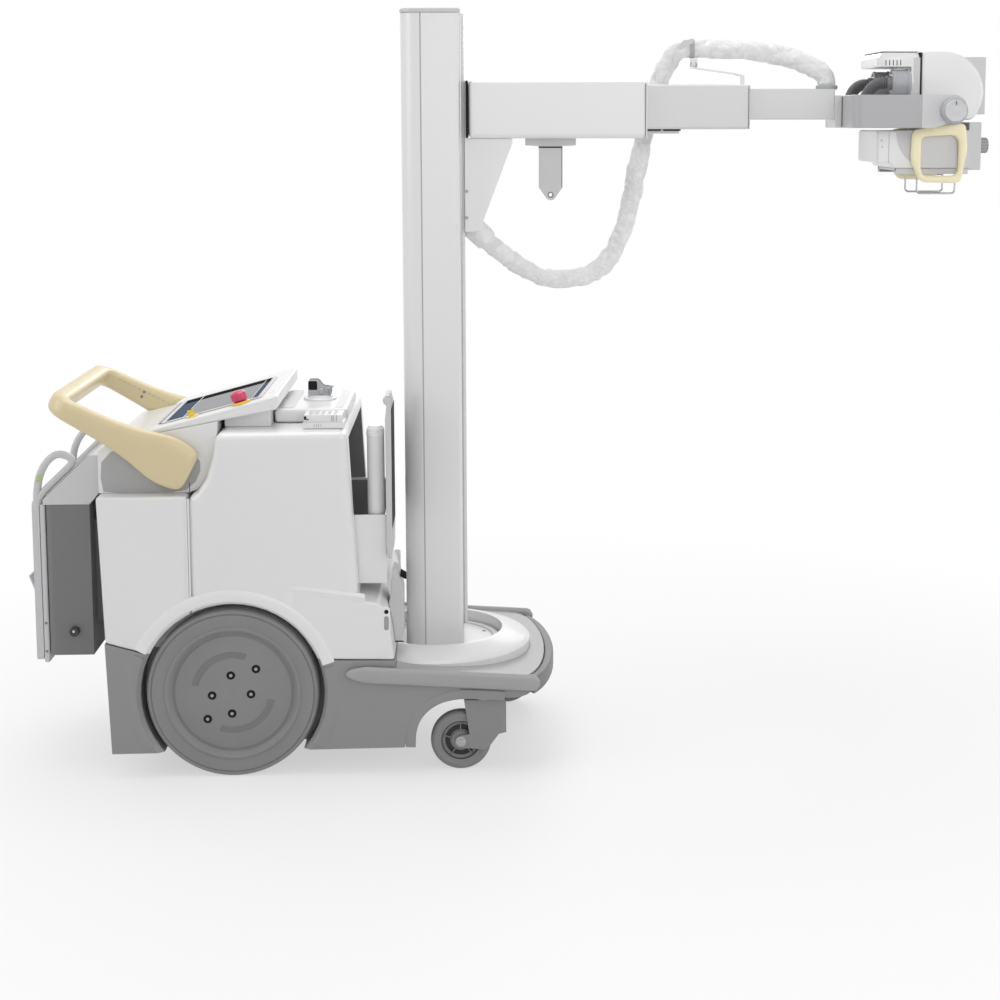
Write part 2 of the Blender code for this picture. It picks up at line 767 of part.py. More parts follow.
def build_console():
    step = 0.0008
    front = BODY_BACK[-1][0] - step
    outline = [
        (PLINTH_REAR, BODY_REAR_TOP + GAP),
        (BODY_SEAM_X, BODY_REAR_TOP + GAP),
        *[(x - step, z) for x, z in BODY_BACK],
        (front, console_under(front) - GAP),
        (CONSOLE_REAR, console_under(CONSOLE_REAR) - GAP),
        (PLINTH_REAR + 0.02, 0.822),
        (PLINTH_REAR, 0.808),
    ]
    flat(
        "console_plinth", outline, "XZ", -PLINTH_HALF, PLINTH_HALF, "white"
    )

    outline = [
        (CONSOLE_REAR, console_under(CONSOLE_REAR)),
        (CONSOLE_FRONT, console_under(CONSOLE_FRONT)),
        (CONSOLE_FRONT, console_top(CONSOLE_FRONT)),
        (CONSOLE_REAR, console_top(CONSOLE_REAR)),
    ]
    console = flat(
        "console", outline, "XZ", -CONSOLE_HALF, CONSOLE_HALF, "white", bevel=0.004
    )
    neck_rear, neck_front = BODY_BACK[-1][0] + 0.010, -0.400
    neck = [
        (neck_rear, BODY_TOP + GAP),
        (neck_front, BODY_TOP + GAP),
        (neck_front, console_under(neck_front) + 0.004),
        (neck_rear, console_under(neck_rear) + 0.004),
    ]
    join(console, flat("console_neck", neck, "XZ", -0.200, 0.200, "white"))

    rear, front = -0.674, -0.437
    lift = GAP
    outline = [
        (rear, console_top(rear) + lift),
        (front, console_top(front) + lift),
        (front, console_top(front) + lift + SCREEN_T),
        (rear, console_top(rear) + lift + SCREEN_T),
    ]
    flat("console_screen", outline, "XZ", -0.190, 0.137, "screen")

    tilt = -math.atan(CONSOLE_TILT)
    x, y = -0.468, -0.219
    profile = [
        (0, 0.034),
        (0.012, 0.033),
        (0.019, 0.028),
        (0.020, 0.022),
        (0.018, 0.016),
        (0.012, 0.014),
        (0.012, 0.008),
        (0.021, 0.006),
        (0.021, GAP * 2),
        (0, GAP * 2),
    ]
    button = turned(
        "emergency_button", profile, (x, y, console_top(x)), "Z", "red", steps=24
    )
    button.matrix_world = Matrix.Translation((x, y, console_top(x))) @ Matrix.Rotation(
        tilt, 4, "Y"
    )


def build_handle():
    """Push handle: two flat arms that rise from pads at the plinth's sides to one cross bar."""
    pad, corner = Vector((-0.590, 0.759)), Vector((-0.905, 0.925))
    along = (corner - pad).normalized()
    across = Vector((-along.y, along.x))
    length = (corner - pad).length
    stations = [  # distance from the pad's end, half width of the arm
        (0.000, 0.026),
        (0.010, 0.042),
        (0.030, 0.055),
        (0.065, 0.060),
        (0.110, 0.052),
        (0.170, 0.038),
        (0.240, 0.030),
        (length - 0.045, 0.026),
    ]
    count = 12
    half_thick = HANDLE_THICK / 2

    def section(centre, side, up, half_side, half_up):
        made = []
        for i in range(count):
            a = 2 * math.pi * i / count
            c, s = math.cos(a), math.sin(a)
            reach = 1 / (abs(c) ** 3 + abs(s) ** 3) ** (1 / 3)
            made.append(centre + side * (half_side * c * reach) + up * (half_up * s * reach))
        return made

    up = Vector((across.x, 0, across.y))
    if up.z < 0:
        up = -up
    rings = []
    for t, half in stations:
        spot = pad + along * t
        thick = half_thick * (0.72 if t == 0 else 1.0)
        centre = Vector((spot.x, -HANDLE_HALF, spot.y))
        rings.append(section(centre, Vector((0, 1, 0)), up, thick, half))
    bend = 0.045
    inward = Vector((along.x, 0, along.y))
    turn = Vector((corner.x, -HANDLE_HALF, corner.y)) - inward * bend
    for angle in (30, 60, 90):
        a = math.radians(angle)
        centre = turn + inward * (bend * math.sin(a)) + Vector((0, bend * (1 - math.cos(a)), 0))
        side = Vector((0, 1, 0)) * math.cos(a) - inward * math.sin(a)
        half_side = half_thick + 0.003 * angle / 90
        rings.append(section(centre, side, up, half_side, 0.024))
    far = []
    for ring in reversed(rings):
        flipped = [Vector((p.x, -p.y, p.z)) for p in ring]
        far.append(flipped)
    loft("push_handle", [*rings, *far], "cream")


# Things on the body's top

def build_top():
    box(
        "top_cover", (-0.395, -COVER_HALF, BODY_TOP + GAP), (-0.215, COVER_HALF, COVER_TOP),
        "white", bevel=0.010,
    )
    disc_t, floor_t, depth = 0.006, 0.006, 0.046
    slot, cheek = TONGUE_T / 2 + 0.004, 0.007
    low = COVER_TOP + GAP
    base = low + disc_t - 0.001
    dock = cylinder("arm_dock", 0.042, 0, disc_t, (-TONGUE_X, 0, low), "Z", "light_grey")
    outline = [
        (-slot - cheek, base),
        (slot + cheek, base),
        (slot + cheek, base + depth),
        (slot, base + depth),
        (slot, base + floor_t),
        (-slot, base + floor_t),
        (-slot, base + depth),
        (-slot - cheek, base + depth),
    ]
    half = TONGUE_W / 2
    join(dock, flat("dock_cheeks", outline, "YZ", -TONGUE_X - half, -TONGUE_X + half, "dark"))

    low = (-0.318, -0.246, BODY_TOP + GAP)
    lower = box("handset", low, (-0.217, -0.168, BODY_TOP + 0.017), "white", bevel=0.004)
    upper_low = (-0.314, -0.241, BODY_TOP + 0.016)
    join(lower, box("handset_upper", upper_low, (-0.222, -0.173, BODY_TOP + 0.034), "white"))


# Rear bin with its lid, and the detector that hangs behind it

def body_rear_x(z):
    """The body's rear face, which leans forward towards the base."""
    top, low = (-0.8126, BODY_REAR_TOP), JOINT_LINE[0]
    return top[0] + (low[0] - top[0]) * (top[1] - z) / (top[1] - low[1])


def build_bin():
    corner = 0.020
    plan = [
        (BIN_FRONT, -BIN_HALF),
        (BIN_FRONT, BIN_HALF),
        *arc((BIN_REAR + corner, BIN_HALF - corner), corner, 90, 180, 4),
        *arc((BIN_REAR + corner, -BIN_HALF + corner), corner, 180, 270, 4),
    ]
    bin_box = flat("rear_bin", plan, "XY", BIN_LOW, BIN_TOP, "bin_grey")
    low = (BIN_REAR + WALL, -BIN_HALF + corner, BIN_LOW + WALL)
    high = (BIN_FRONT - WALL, BIN_HALF - corner, 1.0)
    cut(bin_box, box("bin_hollow", low, high, "dark"))
    low_z, high_z = 0.360, 0.620
    mount = [
        (BIN_FRONT - 0.001, low_z),
        (body_rear_x(low_z) - GAP, low_z),
        (body_rear_x(high_z) - GAP, high_z),
        (BIN_FRONT - 0.001, high_z),
    ]
    join(bin_box, flat("bin_mount", mount, "XZ", -0.160, 0.160, "dark"))
    at = (-0.886, -BIN_HALF - 0.013, 0.353)
    join(bin_box, cylinder("bin_knob", 0.010, 0, 0.015, at, "Y", steps=16))

    lid_front = PLINTH_REAR - GAP
    outline = [
        (BIN_REAR - 0.003, BIN_TOP + GAP),
        (BIN_FRONT, BIN_TOP + GAP),
        (lid_front, 0.705),
        (lid_front, 0.792),
        (-0.840, 0.792),
        (BIN_REAR - 0.003, 0.682),
    ]
    lid = flat("bin_lid", outline, "XZ", -BIN_HALF, BIN_HALF, "light_grey")
    hollow = [(BIN_REAR + WALL, 0.6), (BIN_FRONT - WALL, 0.6), (BIN_FRONT - WALL, 0.775),
              (BIN_REAR + WALL, 0.6745)]
    inside = BIN_HALF - corner
    cut(lid, flat("lid_hollow", hollow, "XZ", -inside, inside, "dark"))

    holder_front = BIN_REAR - GAP
    holder_rear = holder_front - HOLDER_T
    low = (holder_rear, -PANEL_HALF, 0.270)
    box("detector_holder", low, (holder_front, PANEL_HALF, 0.6685), "light_grey", bevel=0.004)

    front = holder_rear - GAP
    rear = front - PANEL_T
    panel = box(
        "detector_panel", (rear, -PANEL_HALF, 0.276), (front, PANEL_HALF, 0.676), "light_grey"
    )
    grip = [
        (rear, 0.660),
        (front, 0.660),
        (front, 0.671),
        (front + 0.002, 0.6755),
        (-0.955, 0.6870),
        (-0.873, 0.7655),
        (-0.871, 0.779),
        (-0.893, 0.796),
        (-0.925, 0.801),
        (-0.952, 0.786),
        (-0.971, 0.745),
    ]
    window = [(-0.950, 0.712), (-0.893, 0.764), (-0.899, 0.778), (-0.918, 0.783), (-0.936, 0.767)]
    for side, sign in SIDES:
        low, high = sorted((sign * (PANEL_HALF - 0.002), sign * (PANEL_HALF - 0.026)))
        join(panel, flat(f"detector_grip_{side}", [grip, window], "XZ", low, high, "dark"))
    round_edges(panel, 0.003, 1, 40)

    seat = rear - GAP
    plate = [
        (seat, 0.370),
        (seat, 0.386),
        (-0.990, 0.392),
        (FLAP_REAR + 0.0045, 0.4655),
        (FLAP_REAR, 0.4635),
        (-0.993, 0.378),
        (-0.989, 0.370),
    ]
    flat("rear_flap", plate, "XZ", -0.100, 0.100, "light_grey")


# Front box and what stands in it

def build_front():
    low, high = (BOX_REAR, -BOX_HALF, RECESS_Z + GAP), (BOX_FRONT, BOX_HALF, BOX_TOP)
    tray = box("front_box", low, high, "white")
    low = (BOX_REAR + WALL, -BOX_HALF + WALL, RECESS_Z + GAP + WALL)
    cut(tray, box("front_box_hollow", low, (BOX_FRONT - WALL, BOX_HALF - WALL, 1.0), "dark"))

    radius = 0.0215
    foot = RECESS_Z + WALL + GAP * 2
    at = (BOX_FRONT - WALL - radius - 0.001, -0.200, foot)
    top = 0.858 - foot
    profile = [(0, top), (radius - 0.006, top), (radius, top - 0.008), (radius, 0.004),
               (radius - 0.003, 0), (0, 0)]
    turned("storage_tube", profile, at, "Z", "white", steps=24)

    rear, thick = BOX_FRONT + GAP, 0.015
    front = rear + thick
    outline = [
        (rear, 0.560),
        (rear + 0.005, 0.533),
        (front - 0.003, 0.533),
        (front, 0.590),
        (front, 0.905),
        (front - 0.006, 0.930),
        (front - 0.016, 0.934),
        (front - 0.019, 0.920),
        (front - 0.011, 0.912),
        (rear, 0.880),
    ]
    flat("grid_panel", outline, "XZ", -0.245, -0.105, "light_grey", bevel=0.001, segments=1)

    seat = GAP * 2
    outline = [
        (-0.1013 + seat, 0.310),
        (-0.086, 0.310),
        (-0.080, 0.330),
        (-0.080, 0.440),
        (-0.090, 0.490),
        (-0.106, 0.497),
        (-0.112, 0.430),
        (-0.1170 + seat, 0.4095),
        (-0.1080 + seat, 0.360),
    ]
    flat("panel_guard", outline, "XZ", -0.205, -0.130, "light_grey")


# Turning column, carriage and telescopic arm

def column_outline(grow=0.0):
    rear_r, front_r = 0.045, 0.012
    half = COLUMN_HALF
    points = [
        *arc((COLUMN_FRONT - front_r, half - front_r), front_r + grow, 0, 90, 3),
        *arc((COLUMN_REAR + rear_r, half - rear_r), rear_r + grow, 90, 180, 5),
        *arc((COLUMN_REAR + rear_r, -half + rear_r), rear_r + grow, 180, 270, 5),
        *arc((COLUMN_FRONT - front_r, -half + front_r), front_r + grow, 270, 360, 3),
    ]
    return points


def build_column():
    low = TABLE_TOP - TABLE_T
    spigot_r, spigot_low = 0.060, low - WELL_CLEAR + GAP
    profile = [
        (0, TABLE_TOP),
        (TABLE_R, TABLE_TOP),
        (TABLE_R, low),
        (spigot_r, low),
        (spigot_r, spigot_low),
        (0, spigot_low),
    ]
    turned("turntable", profile, (0, 0, 0), "Z", "white", "column", 48)

    top = COLUMN_TOP - CAP_T - GAP
    column = flat(
        "column", column_outline(), "XY", TABLE_TOP + GAP, top, "white", "column"
    )
    groove_x, groove_w, groove_d = -0.029, 0.003, 0.002
    for side, sign in SIDES:
        low_y, high_y = sorted((sign * (COLUMN_HALF - groove_d), sign * FAR))
        low = (groove_x - groove_w / 2, low_y, 0)
        high = (groove_x + groove_w / 2, high_y, 2)
        cut(column, box(f"column_groove_{side}", low, high, "dark", "column"))
    low = (COLUMN_FRONT - 0.002, -GUIDE_HALF, TABLE_TOP + 0.050)
    high = (COLUMN_FRONT + GUIDE_T, GUIDE_HALF, top)
    join(column, box("column_guide", low, high, "steel", "column"))
    cap_low = COLUMN_TOP - CAP_T
    flat(
        "column_cap", column_outline(0.002), "XY", cap_low, COLUMN_TOP, "light_grey",
        "column", bevel=0.003,
    )


GLAND = ((0.104, 0, 1.3275), (0.1248, 0, 1.3052))
HOSE_R = 0.0235


def build_carriage():
    rear = COLUMN_FRONT + GUIDE_T + RUNNING_GAP
    front = rear + PLATE_T
    top = ARM_LOW - GAP
    outline = [
        (rear, BRACKET_LOW),
        (0.1136, BRACKET_LOW),
        (0.1978, top - 0.0115),
        (0.1978, top),
        (front, top),
        (front, ARM_TOP - 0.001),
        (rear, ARM_TOP - 0.001),
    ]
    carriage = flat("carriage", outline, "XZ", -0.055, 0.055, "white", "carriage")
    join(carriage, solid_tube("hose_gland", GLAND, HOSE_R + 0.002, "dark", "carriage"))

    low, high = (front + GAP, -ARM_HALF, ARM_LOW), (ARM_FRONT, ARM_HALF, ARM_TOP)
    outer = box("arm_outer", low, high, "white", "carriage", bevel=0.012, segments=3)
    slack = RUNNING_GAP
    low = (MID_REAR - ARM_TRAVEL - 0.010, -MID_HALF - slack, MID_LOW - slack)
    high = (1.0, MID_HALF + slack, MID_TOP + slack)
    cut(outer, box("arm_outer_bore", low, high, "dark", "carriage"))
    low, high = (0.500, -0.030, MID_LOW - 0.011), (0.620, 0.030, MID_LOW - 0.001)
    join(outer, box("arm_shoe", low, high, "dark", "carriage"))

    half = TONGUE_W / 2
    plate_top, plate_low = ARM_LOW - GAP, 1.537
    shoulder = 1.432
    outline = [
        (TONGUE_X - 0.064, plate_top),
        (TONGUE_X - 0.064, plate_low + 0.002),
        (TONGUE_X - half, plate_low),
        (TONGUE_X - half, shoulder),
        *arc((TONGUE_X, TONGUE_TIP + 0.014), 0.014, 215, 325, 5),
        (TONGUE_X + half, shoulder),
        (TONGUE_X + half, plate_low),
        (TONGUE_X + 0.064, plate_low + 0.002),
        (TONGUE_X + 0.064, plate_top),
    ]
    tongue = flat(
        "dock_tongue", outline, "XZ", -TONGUE_T / 2, TONGUE_T / 2, "light_grey", "carriage"
    )
    hole_at = (TONGUE_X, 0, TONGUE_TIP + 0.014)
    cut(tongue, cylinder("tongue_hole", 0.005, -FAR, FAR, hole_at, "Y", body="carriage", steps=16))


def build_arm():
    low, high = (MID_REAR, -MID_HALF, MID_LOW), (MID_FRONT, MID_HALF, MID_TOP)
    mid = box("arm_mid", low, high, "white", "arm_mid", bevel=0.007)
    slack = RUNNING_GAP
    low = (INNER_REAR - ARM_TRAVEL - 0.010, -INNER_HALF - slack, INNER_LOW - slack)
    high = (1.5, INNER_HALF + slack, INNER_TOP + slack)
    cut(mid, box("arm_mid_bore", low, high, "dark", "arm_mid"))

    leaf_t = 0.003
    low = MID_TOP + GAP
    leaf = [
        (MID_FRONT - 0.012, low),
        (MID_FRONT, low),
        (MID_FRONT, 1.717),
        (MID_FRONT - 0.023, 1.7215),
        (0.655, 1.7375),
        (0.652, 1.7375 - leaf_t),
        (MID_FRONT - 0.025, 1.7215 - leaf_t),
        (MID_FRONT - 0.012, 1.714),
    ]
    stay = flat("hose_stay", leaf, "XZ", 0.030, 0.056, "light_grey", "arm_mid")
    low, high = (0.6535, 0.046, 1.7345), (0.674, 0.074, STRAP[2] - HOSE_R - GAP)
    join(stay, box("hose_cradle", low, high, "dark", "arm_mid"))

    low, high = (INNER_REAR, -INNER_HALF, INNER_LOW), (INNER_FRONT - 0.0165, INNER_HALF, INNER_TOP)
    inner = box("arm_inner", low, high, "white", "arm_inner", bevel=0.004)
    low = (INNER_FRONT - 0.0175, -0.050, 1.5845)
    high = (INNER_FRONT, 0.050, FORK_TOP)
    join(inner, box("arm_flange", low, high, "dark", "arm_inner"))
    at = (UPPER_HOSE[-1][0], 0, 0)
    gland = cylinder(
        "hose_end", HOSE_R + 0.002, INNER_TOP - 0.002, UPPER_HOSE[-1][2] - GAP, at, "Z",
        body="arm_inner", steps=24,
    )
    join(inner, gland)


# Fork and tube head

def build_fork():
    rear, inside = FORK_REAR, FORK_REAR + FORK_T
    inner_half = FORK_HALF - FORK_T
    end_x, corner, inner_corner = TILT_X + 0.050, 0.026, 0.012
    half = [
        (rear, 0),
        *arc((rear + corner, FORK_HALF - corner), corner, 180, 90, 4),
        (end_x, FORK_HALF),
        (end_x, inner_half),
        *arc((inside + inner_corner, inner_half - inner_corner), inner_corner, 90, 180, 3),
        (inside, 0),
    ]
    fork = flat("fork", mirrored(half), "XY", FORK_LOW, FORK_TOP, "fork_grey", "fork")
    nose_r, skim = 0.034, 0.0005
    side = [
        (rear - 0.010, FORK_LOW + skim),
        (1.225, FORK_LOW + skim),
        *arc((TILT_X, FORK_TOP + skim - nose_r), nose_r, -68, 90, 8),
        (rear - 0.010, FORK_TOP + skim),
    ]
    trim(fork, flat("fork_side", side, "XZ", -FAR, FAR, "dark", "fork"))
    round_edges(fork, 0.003, 2, 50)
    knob_t = 0.020
    profile = [(0, knob_t), (0.027, knob_t), (0.031, knob_t - 0.004), (0.031, -0.001), (0, -0.001)]
    for side_name, sign in SIDES:
        at = (TILT_X, sign * FORK_HALF, TILT_Z)
        axis = "Y" if sign > 0 else "-Y"
        join(fork, turned(f"tilt_knob_{side_name}", profile, at, axis, "fork_grey", "fork", 24))


def head_outline(grow=0.0):
    centre, radius = (HEAD_FRONT - 0.100, HEAD_TOP - 0.100), 0.100 + grow
    return [
        (HEAD_SEAM + GAP, HEAD_LOW),
        *arc(centre, radius, -43, 90, 13),
        (HEAD_SEAM + GAP, HEAD_TOP + grow),
    ]


TERMINAL_X, TERMINAL_Y, TERMINAL_Z, TERMINAL_R = 1.140, 0.105, 1.694, 0.032


def build_head():
    housing = flat(
        "tube_housing", head_outline(), "XZ", -HEAD_HALF, HEAD_HALF, "white", "head",
        bevel=0.010,
    )
    reach = FORK_HALF - FORK_T - GAP
    axle = cylinder(
        "head_trunnions", 0.022, -reach, reach, (TILT_X, 0, TILT_Z), "Y", body="head", steps=24
    )
    join(housing, axle)

    low, high = (1.320, -0.060, 1.617), (1.391, 0.060, 1.760)
    front = box("tube_front_box", low, high, "light_grey", "head")
    cut(front, flat("front_box_seat", head_outline(GAP), "XZ", -FAR, FAR, "dark", "head"))

    low = (HEAD_REAR, -HEAD_HALF + 0.005, HEAD_LOW)
    high = (HEAD_SEAM - GAP, HEAD_HALF - 0.005, HEAD_TOP)
    cable_box = box("cable_box", low, high, "white", "head", bevel=0.014)
    wall_x = HEAD_SEAM - 0.0243
    notch_half = 0.040  # above and below the terminals' axis
    low = (HEAD_REAR - 0.1, -FAR, TERMINAL_Z - notch_half)
    high = (wall_x, FAR, TERMINAL_Z + notch_half)
    cut(cable_box, box("terminal_notch", low, high, "dark", "head"))
    length = wall_x + 0.002 - TERMINAL_X
    for side, sign in SIDES:
        profile = [
            (0, length),
            (TERMINAL_R, length),
            (TERMINAL_R, 0.004),
            (TERMINAL_R - 0.004, 0),
            (0, 0),
        ]
        at = (TERMINAL_X, sign * TERMINAL_Y, TERMINAL_Z)
        join(cable_box, turned(f"terminal_{side}", profile, at, "X", "light_grey", "head", 24))


def build_collimator():
    half = COLLIMATOR_HALF
    outline = [
        (COLLIMATOR_REAR, 1.4964),
        (1.140, 1.4964),
        (1.150, COLLIMATOR_LOW),
        (COLLIMATOR_FRONT, COLLIMATOR_LOW),
        (COLLIMATOR_FRONT, COLLIMATOR_TOP),
        (COLLIMATOR_REAR, COLLIMATOR_TOP),
    ]
    body = flat(
        "collimator", outline, "XZ", -half, half, "white", "collimator", bevel=0.005
    )
    neck = cylinder(
        "collimator_neck", 0.060, COLLIMATOR_TOP - 0.002, HEAD_LOW - GAP, (BEAM_X, 0, 0), "Z",
        body="collimator",
    )
    join(body, neck)

    low = (COLLIMATOR_FRONT + GAP, -0.098, 1.478)
    block_front = 1.374
    block = box(
        "collimator_block", low, (block_front, 0.098, 1.597), "light_grey", "collimator",
        bevel=0.003,
    )
    knob_at = (block_front - 0.001, -0.020, 1.5385)
    length = KNOB_END - knob_at[0]
    profile = [(0, length), (0.016, length), (0.019, length - 0.004), (0.019, 0.010),
               (0.010, 0.008), (0.010, 0), (0, 0)]
    join(block, turned("collimator_knob", profile, knob_at, "X", "dark", "collimator", 24))

    outer = [
        (1.188, 1.5745),
        (1.1855, 1.478),
        *arc((1.212, 1.472), 0.0265, 185, 265, 4),
        *arc((1.302, 1.474), 0.0290, 275, 350, 4),
        (1.3365, 1.530),
        (1.330, 1.590),
        (1.326, 1.597),
    ]
    inner = [
        (1.2105, 1.5640),
        (1.2085, 1.482),
        *arc((1.224, 1.484), 0.0155, 190, 265, 3),
        *arc((1.293, 1.484), 0.0155, 275, 350, 3),
        (1.314, 1.530),
        (1.306, 1.5670),
    ]
    for side, sign in SIDES:
        low, high = sorted((sign * (half + GAP), sign * (half + 0.019)))
        flat(
            f"head_handle_{side}", [outer, inner], "XZ", low, high, "cream", "collimator",
            bevel=0.004,
        )

    low = (1.158, -0.100, 1.468)
    high = (COLLIMATOR_FRONT, 0.100, COLLIMATOR_LOW - 2 * GAP)
    rails = box("accessory_rails", low, high, "light_grey", "collimator")
    low, high = (BEAM_X - 0.050, -0.045, 1.0), (BEAM_X + 0.050, 0.045, 2.0)
    cut(rails, box("beam_window", low, high, "dark", "collimator"))
    wire_r, wire_low, bend = 0.0025, 1.418, 0.008
    x0, x1 = 1.2217, 1.319
    for side, sign in SIDES:
        y = 0.060 * sign
        points = [(x0, y, 1.472)]
        points += [(x, y, z) for x, z in arc((x0 + bend, wire_low + bend), bend, 180, 270, 4)]
        points += [(x, y, z) for x, z in arc((x1 - bend, wire_low + bend), bend, 270, 360, 4)]
        points.append((x1, y, 1.472))
        join(rails, solid_tube(f"wire_bail_{side}", points, wire_r, "steel", "collimator"))


# Hoses and cables: each is held at both ends

STRAP = (0.6600, 0.060, 1.7835)
LOWER_HOSE = [
    (0.1251, 0.000, 1.3049),
    (0.1310, 0.000, 1.2986),
    (0.177, 0.004, 1.262),
    (0.222, 0.010, 1.230),
    (0.268, 0.016, 1.206),
    (0.3147, 0.024, 1.1977),
    (0.360, 0.032, 1.1990),
    (0.405, 0.046, 1.2120),
    (0.450, 0.064, 1.2480),
    (0.487, 0.086, 1.320),
    (0.512, 0.101, 1.410),
    (0.532, 0.106, 1.510),
    (0.553, 0.106, 1.600),
    (0.580, 0.099, 1.695),
    (0.600, 0.086, 1.744),
    (0.622, 0.068, 1.7760),
    (0.6516, 0.060, 1.7835),
    (0.6596, 0.060, 1.7835),
]
UPPER_HOSE = [
    (0.6604, 0.060, 1.7835),
    (0.6684, 0.060, 1.7835),
    (0.710, 0.057, 1.7840),
    (0.757, 0.052, 1.7810),
    (0.818, 0.045, 1.7790),
    (0.876, 0.036, 1.7680),
    (0.926, 0.024, 1.7530),
    (0.966, 0.012, 1.7370),
    (0.991, 0.003, 1.7170),
    (0.999, 0.000, 1.6990),
    (0.999, 0.000, 1.6908),
]
CABLE_R = 0.015


def build_hoses():
    tube("hose_lower", cord_route(LOWER_HOSE, 0.030), HOSE_R, "sleeve", "carriage")
    tube("hose_upper", cord_route(UPPER_HOSE, 0.030), HOSE_R, "sleeve", "arm_mid")
    for side, sign in SIDES:
        route = [
            (TERMINAL_X - GAP, sign * TERMINAL_Y, TERMINAL_Z),
            (1.132, sign * TERMINAL_Y, TERMINAL_Z),
            (1.112, sign * 0.104, 1.6930),
            (1.094, sign * 0.100, 1.6830),
            (1.083, sign * 0.094, 1.6670),
            (1.076, sign * 0.086, 1.6500),
            (1.068, sign * 0.076, 1.6350),
            (1.060, sign * 0.070, 1.6280),
            (FORK_REAR + FORK_T + GAP, sign * 0.070, 1.6280),
        ]
        tube(f"hv_cable_{side}", cord_route(route, 0.012), CABLE_R, "cable", "fork")


def assemble():
    """Hangs each piece on its body's pivot, and the whole machine on one empty."""
    pivots = {}
    for body, (parent, at) in BODIES.items():
        pivot = bpy.data.objects.new(f"pivot_{body}", None)
        pivot.empty_display_size = 0.05
        machine.objects.link(pivot)
        start = Vector(BODIES[parent][1]) if parent else Vector((CENTRE_X, 0, 0))
        pivot.location = Vector(at) - start
        pivot.parent = pivots.get(parent)
        pivots[body] = pivot
    for name, body in body_of.items():
        ob = bpy.data.objects[name]
        ob.parent = pivots[body]
        ob.location -= Vector(BODIES[body][1])


build_base()
build_deck()
build_rails()
build_drive_wheels()
build_casters()
build_body()
build_console()
build_handle()
build_top()
build_bin()
build_front()
build_column()
build_carriage()
build_arm()
build_fork()
build_head()
build_collimator()
build_hoses()
assemble()
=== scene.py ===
# Looks of the mobile x-ray machine: finishes, fine parts, hoses, floor, lights and camera.
# Metres, +Z up, +X to the front; at(x, y, z) counts x from the axis that the column turns on.

import json
import math

import bmesh
import bpy
from mathutils import Matrix, Vector, noise


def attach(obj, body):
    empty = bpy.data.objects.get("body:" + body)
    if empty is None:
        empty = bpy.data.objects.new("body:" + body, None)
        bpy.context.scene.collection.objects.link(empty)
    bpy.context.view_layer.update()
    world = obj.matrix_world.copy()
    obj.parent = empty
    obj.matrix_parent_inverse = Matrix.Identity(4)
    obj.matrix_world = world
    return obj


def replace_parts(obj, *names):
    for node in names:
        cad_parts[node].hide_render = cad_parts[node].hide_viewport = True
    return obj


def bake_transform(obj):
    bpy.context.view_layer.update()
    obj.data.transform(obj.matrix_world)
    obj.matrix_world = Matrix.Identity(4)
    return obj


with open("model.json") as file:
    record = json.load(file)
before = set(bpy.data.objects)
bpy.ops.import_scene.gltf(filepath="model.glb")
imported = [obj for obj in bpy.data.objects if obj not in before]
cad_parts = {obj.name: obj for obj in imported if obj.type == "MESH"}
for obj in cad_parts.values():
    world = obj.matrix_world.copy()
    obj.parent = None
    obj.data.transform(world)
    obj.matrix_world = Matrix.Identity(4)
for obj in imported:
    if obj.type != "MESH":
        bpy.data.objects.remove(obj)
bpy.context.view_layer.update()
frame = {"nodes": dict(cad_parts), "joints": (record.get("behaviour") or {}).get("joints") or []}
nodes = frame["nodes"]
joints = {joint["name"]: joint for joint in frame["joints"]}
scene = bpy.context.scene
axisX = joints["column_swivel"]["pos_m"][0]
sides = (("left", 1), ("right", -1))
outward = {1: "Y", -1: "-Y"}  # the axis that points away from the middle


def at(x, y, z):
    return Vector((x + axisX, y, z))


# Camera, at the photograph's viewing angle

cameraSettings = {
    "place": (-0.081, -4.473, 1.6),
    "lens": 63.18,
    "downward": 6.95,  # degrees below level
    "turn": 2.75,  # degrees to the right of straight ahead
    "shiftX": -0.0629,
    "shiftY": -0.165,
}


def makeCamera(s):
    data = bpy.data.cameras.new("photoCamera")
    data.lens = s["lens"]
    data.sensor_width = 36
    data.shift_x = s["shiftX"]
    data.shift_y = s["shiftY"]
    camera = bpy.data.objects.new("photoCamera", data)
    scene.collection.objects.link(camera)
    camera.location = s["place"]
    camera.rotation_euler = (math.radians(90 - s["downward"]), 0, -math.radians(s["turn"]))
    scene.camera = camera


makeCamera(cameraSettings)
print("camera placed")


# Shader maths, written as expressions

class Sock:
    # an output socket; + - * / ** and the methods add Math nodes

    def __init__(self, tree, socket):
        self.tree = tree
        self.socket = socket

    def math(self, operation, *parts):
        node = self.tree.nodes.new("ShaderNodeMath")
        node.operation = operation
        for slot, part in zip(node.inputs, parts):
            if isinstance(part, Sock):
                self.tree.links.new(part.socket, slot)
            else:
                slot.default_value = part
        return Sock(self.tree, node.outputs[0])

    def __add__(self, other):
        return self.math("ADD", self, other)

    def __sub__(self, other):
        return self.math("SUBTRACT", self, other)

    def __mul__(self, other):
        return self.math("MULTIPLY", self, other)

    def __truediv__(self, other):
        return self.math("DIVIDE", self, other)

    def __pow__(self, other):
        return self.math("POWER", self, other)

    def sine(self):
        return self.math("SINE", self)

    def size(self):
        return self.math("ABSOLUTE", self)

    def smaller(self, other):
        return self.math("MINIMUM", self, other)

    def larger(self, other):
        return self.math("MAXIMUM", self, other)

    def share(self, low, high):
        # 0 at low and 1 at high, held between them
        return ((self - low) / (high - low)).larger(0.0).smaller(1.0)


